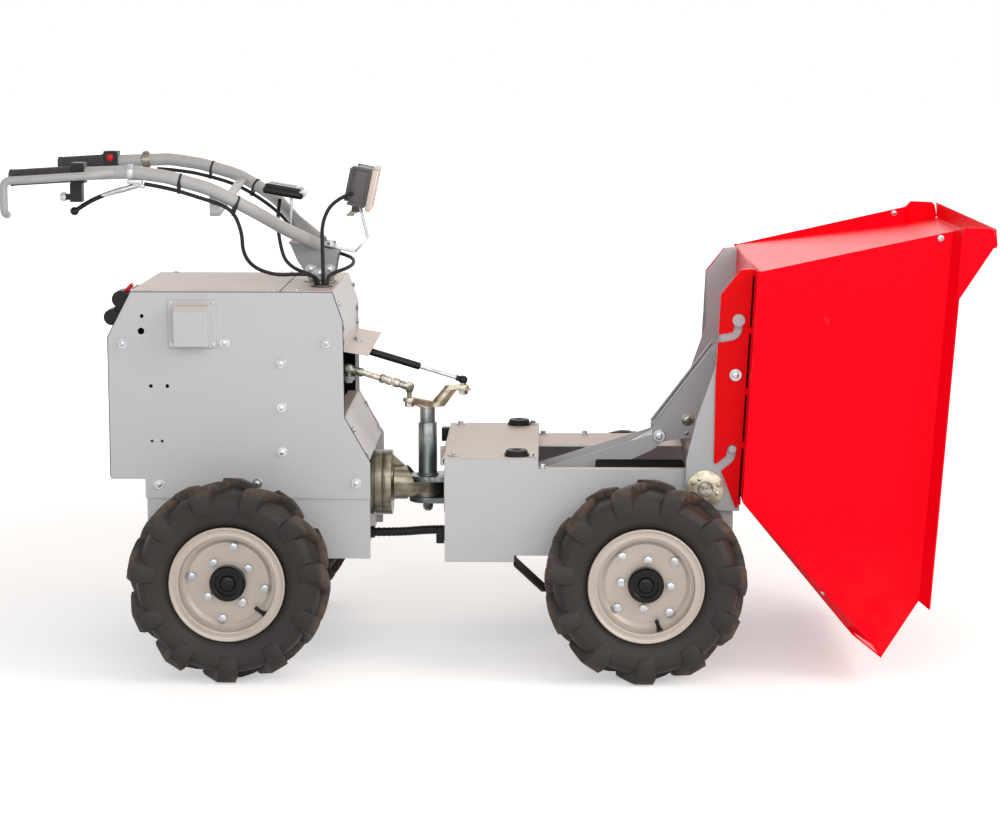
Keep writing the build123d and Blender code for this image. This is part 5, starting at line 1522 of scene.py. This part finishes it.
# ---------------------------------------------------------------- front chassis and tipping gear
def add_knuckle(bm, point, side, flats):
    """Pivot bolt's end: a wide washer, a nut and the domed end of the thread."""
    place = frame_at(point, (0, side, 0))
    add_turned(bm, place, [(0, 0), (flats * 0.95, 0), (flats * 0.98, 1 * MM), (flats * 0.9, 2 * MM),
                           (0, 2 * MM)], 28)
    add_bolt(bm, place @ Matrix.Translation((0, 0, 1.8 * MM)), flats, flats * 0.45, False, 0.5)
    add_cylinder(bm, place, flats * 0.29, 0, flats * 0.45 + 5.5 * MM, 20)


class DUMPER_OT_front_frame(bpy.types.Operator):
    """Makes the rubber pads and adds the front frame's screws"""

    bl_idname = "dumper.front_frame"
    bl_label = "Front frame"

    def execute(self, context):
        low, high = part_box("rest_pads")
        radius, tall = 25.0, (high.z - low.z) / MM
        bm = bmesh.new()
        for side in (RIGHT, LEFT):
            at = ((low.x + high.x) / 2, side * (high.y - radius * MM), low.z)
            add_turned(bm, frame_at(at, UP), [(r * MM, h * MM) for r, h in
                                              [(0, 0), (radius, 0), (radius, tall * 0.45),
                                               (radius - 2.2, tall * 0.5),
                                               (radius - 2.2, tall - 2), (radius - 4.5, tall), (9, tall),
                                               (8, tall - 2.5),
                                               (0, tall - 2.5)]], 48)
        pads = finished("stop_pads", bm, "front_frame", "black_rubber", angle=40)
        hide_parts("rest_pads")
        lid_low, lid_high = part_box("front_box_lid")
        tops = both([(lid_low.x + 24 * MM, lid_high.y - 24 * MM, lid_high.z),
                     (lid_high.x - 14 * MM, lid_high.y - 14 * MM, lid_high.z)])
        deck = lid_high.z - 23 * MM
        tops += both([(lid_high.x + 9 * MM, 0.219, deck)]) + [mm(190, 219, deck / MM),
                                                              mm(300, 219, deck / MM)]
        bolts("deck_bolts", "front_frame", [(p, UP) for p in tops], 11 * MM)
        backs = both([(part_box("front_chassis")[0].x, 0.2, 0.26),
                      (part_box("front_chassis")[0].x, 0.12, 0.26)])
        buttons("box_screws", "front_frame", [(p, BACK) for p in backs], 10 * MM)
        for end, half in (("rear", REAR_HALF + 5.5 * MM), ("front", BOX_HALF + 8 * MM)):
            hub = wheel_centre(f"{end}_right")
            ring = [(Vector((hub.x + 42 * MM * math.cos(k), side * half, hub.z + 42 * MM * math.sin(k))),
                     (0, side, 0))
                    for side in (RIGHT, LEFT) for k in (0.5, 1.55, 2.6, 3.65, 4.7, 5.75)]
            bolts(f"{end}_axle_bolts", "rear_chassis" if end == "rear" else "front_frame", ring, 10 * MM)
        return {"FINISHED"}


class DUMPER_OT_tipping_gear(bpy.types.Operator):
    """Adds the pivot bolts of the tipping gear and the web that stiffens its lever"""

    bl_idname = "dumper.tipping_gear"
    bl_label = "Tipping gear"

    def execute(self, context):
        knee = pivot("tip_lever_swing")
        bm = bmesh.new()
        for side in (RIGHT, LEFT):
            add_knuckle(bm, Vector((knee.x, side * 46.5 * MM, knee.z)), side, 14 * MM)
        finished("knee_bolts", bm, "tip_arm", "zinc")
        bm = bmesh.new()
        for side in (RIGHT, LEFT):
            add_knuckle(bm, mm(406, side * 40, 494), side, 14 * MM)
            add_bolt(bm, frame_at(mm(404, side * 40, 465), (0, side, 0)), 8 * MM, None, False)
        finished("lever_bolts", bm, "tip_lever", "dark_zinc")
        bm = bmesh.new()
        start, end = mm(331, 0, 480), mm(458, 0, 648)
        way = (end - start).normalized()
        turn = Matrix((way, Vector((0, 1, 0)), way.cross(Vector((0, 1, 0))))).transposed().to_4x4()
        place = Matrix.Translation((start + end) / 2) @ turn
        for side in (RIGHT, LEFT):
            add_rounded_box(bm, place, ((end - start).length / MM, 7.6, 4), (0, side * 32.4, 1.0), 1.2, 2)
        finished("lever_web", bm, "tip_lever", "frame_grey", angle=40)
        ear = mm(470, 0, 640)
        bm = bmesh.new()
        for side in (RIGHT, LEFT):
            add_knuckle(bm, ear + mm(0, side * 54, 0), side, 12 * MM)
        finished("ear_bolts", bm, "tipping_skip", "zinc")
        foot = pivot("tip_arm_swing")
        bm = bmesh.new()
        for side in (RIGHT, LEFT):
            add_knuckle(bm, Vector((foot.x, side * 71 * MM, foot.z)), side, 14 * MM)
        finished("arm_foot_bolts", bm, "front_frame", "zinc")
        base = pivot("tip_actuator_swing")
        axis = Vector(JOINTS["tip_actuator_stroke"]["axis"])
        turned_piece("barrel_bands", "tip_actuator_barrel", base, axis,
                     [(18, 60), (20.8, 60.4), (21.2, 61.4), (21.2, 69), (20.8, 70), (20.2, 70.4),
                      (20.2, 236), (21.4, 236.4),
                      (21.8, 238), (21.8, 256), (21, 258.4), (12, 258.8), (11.4, 258.8)], "gloss_black",
                      48)
        return {"FINISHED"}


# ---------------------------------------------------------------- skip
# Places on the skip, level, in millimetres from the tipping pin: u forward, w up.
DISC_BOLTS = [(-10, 27), (25, 0), (-11, -25)]
TACKS = [-447, -330, -205, -95, 22]


class DUMPER_OT_skip(bpy.types.Operator):
    """Adds the skip's bolts, weld tacks and seams, the painted shadow in the rail gaps, and the zinc discs on
    the tipping pins
    """

    bl_idname = "dumper.skip"
    bl_label = "Skip"

    def execute(self, context):
        heads, beads, discs, pins, gap_shadow = [], bmesh.new(), bmesh.new(), bmesh.new(), bmesh.new()
        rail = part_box("skip_rail_left")[1].y / MM
        for side in (RIGHT, LEFT):
            out = skip_way(0, side, 0)
            heads.append((on_skip(-238, side * rail, 46), out))
            add_turned(discs, frame_at(on_skip(0, side * (rail - 3), 0), out),
                       [(r * MM, h * MM) for r, h in [(15.5, 0), (37.6, 0), (38.6, 0.6), (38.6, 1.0),
                                                      (37.6, 1.6), (15.5, 1.6)]], 60)
            for u, w in DISC_BOLTS:
                add_button(discs, frame_at(on_skip(u, side * (rail - 1.4), w), out), 9 * MM)
            add_turned(pins, frame_at(on_skip(0, side * (rail - 2), 0), out),
                       [(r * MM, h * MM) for r, h in [(0, 0), (14.4, 0), (14.6, 6.4), (13.4, 7.4),
                                                      (2.5, 7.6), (2, 6.6), (0, 6.2)]], 40)
            # Painted shadow: dull near-black strips between the tacks, in the gap where the rail meets the
            # skip's base.
            for start, end in zip(TACKS, TACKS[1:]):
                add_box(gap_shadow, Matrix.Translation(on_skip((start + end) / 2, side * (rail - 4),
                                                            70)) @ SKIP_TURN,
                        ((end - start - 14) * MM, 6.4 * MM, 3.9 * MM))
            for u in TACKS:
                for shift in (-4, 0, 4):
                    add_bead(beads, on_skip(u + shift, side * (rail - 1), 71), skip_way(1, 0, 0),
                             (3.6 * MM, 2.6 * MM))
            for u, w in ((-560, 463), (-536, 461.5), (-512, 461), (-486, 460.5), (-460, 460),
                         (-434, 459.6)):
                add_bead(beads, on_skip(u, side * 383, w), skip_way(1, 0, 0), (7 * MM, 2.0 * MM))
            for k in range(12):
                share = k / 11
                half = 324 + 21 * share
                add_bead(beads, on_skip(-455 - 78 * share * 0.82, side * (half - 1), 74 + 372 * share),
                         skip_way(-0.2, 0, 1),
                         (5 * MM, 2.2 * MM))
        bolts("rail_bolts", "tipping_skip", heads, 13 * MM)
        finished("rail_gap_shadow", gap_shadow, "tipping_skip", "shade_black")
        bm = bmesh.new()
        for side in (RIGHT, LEFT):
            add_swept(bm, [(-399.5, 5.9), (-399, 9), (-277, 15), (-238, 12), (-238, 6.4)], 0.6,
                      Matrix.Translation(TIP + mm(0, side * (rail - 8.8), 0)) @ SKIP_TURN)
        finished("rail_backing", bm, "tipping_skip", "head_grey")
        finished("weld_tacks", beads, "tipping_skip", "rail", angle=60)
        face = max(v.co.y for v in discs.verts)
        ring = [mm(431.5 + 25 * math.cos(a), 0, 384 + 25 * math.sin(a)) for a in (2.1, -0.3, 4.0)]
        bolts("disc_screws", "tipping_skip", [(at + Vector((0, side * face, 0)), (0, side, 0))
                                              for at in ring for side in (RIGHT, LEFT)],
              9 * MM, False, "dark_zinc")
        finished("tipping_discs", discs, "tipping_skip", "arm_zinc")
        finished("tipping_pin_ends", pins, "front_frame", "dark_zinc")
        rivets = []
        for side in (RIGHT, LEFT):
            rivets += [(on_skip(-543, side * 344.0, 425), skip_way(0, side, 0)),
                       (on_skip(-543, side * 340.4, 425), skip_way(0, -side, 0))]
            rivets.append((on_skip(188, side * 325.6, 245), Vector(skip_way(0.637, side * 0.398, -0.659))))
        buttons("skip_rivets", "tipping_skip", rivets, 9 * MM)
        return {"FINISHED"}


# ---------------------------------------------------------------- rolled edges
class DUMPER_OT_edges(bpy.types.Operator):
    """Rolls the cut edges of the model's own sheet pieces"""

    bl_idname = "dumper.edges"
    bl_label = "Rolled edges"

    def execute(self, context):
        for name, width in ROLLED.items():
            soften(frame["nodes"][name], width * MM)
        return {"FINISHED"}


# ---------------------------------------------------------------- panel and registration
STEPS = ["camera", "finishes", "cables", "tyres", "wheel_fittings", "housing", "pivot", "steering",
         "handlebar", "lamp",
         "front_frame", "tipping_gear", "skip", "edges", "stage"]


class DUMPER_PT_panel(bpy.types.Panel):
    """Lists the steps that dress the dumper"""

    bl_idname = "DUMPER_PT_panel"
    bl_label = "Site Dumper"
    bl_space_type = "VIEW_3D"
    bl_region_type = "UI"
    bl_category = "Dumper"

    def draw(self, context):
        for step in STEPS:
            self.layout.operator(f"dumper.{step}")
        for group in (context.scene.dumper_paints, context.scene.dumper_tyres,
                      context.scene.dumper_fasteners,
                      context.scene.dumper_studio):
            for name in group.__annotations__:
                self.layout.prop(group, name)


CLASSES = [DumperPaints, DumperTyres, DumperFasteners, DumperStudio, DUMPER_OT_camera, DUMPER_OT_finishes,
           DUMPER_OT_cables,
           DUMPER_OT_tyres, DUMPER_OT_wheel_fittings, DUMPER_OT_housing, DUMPER_OT_pivot,
           DUMPER_OT_steering,
           DUMPER_OT_handlebar, DUMPER_OT_lamp, DUMPER_OT_front_frame, DUMPER_OT_tipping_gear,
           DUMPER_OT_skip,
           DUMPER_OT_edges, DUMPER_OT_stage, DUMPER_PT_panel]
SETTINGS = {"dumper_paints": DumperPaints, "dumper_tyres": DumperTyres, "dumper_fasteners": DumperFasteners,
            "dumper_studio": DumperStudio}


def register():
    for cls in CLASSES:
        bpy.utils.register_class(cls)
    for name, cls in SETTINGS.items():
        setattr(bpy.types.Scene, name, PointerProperty(type=cls))


def unregister():
    for name in SETTINGS:
        delattr(bpy.types.Scene, name)
    for cls in reversed(CLASSES):
        bpy.utils.unregister_class(cls)


def main():
    register()
    for step in STEPS:
        getattr(bpy.ops.dumper, step)()


if __name__ == "__main__":
    main()
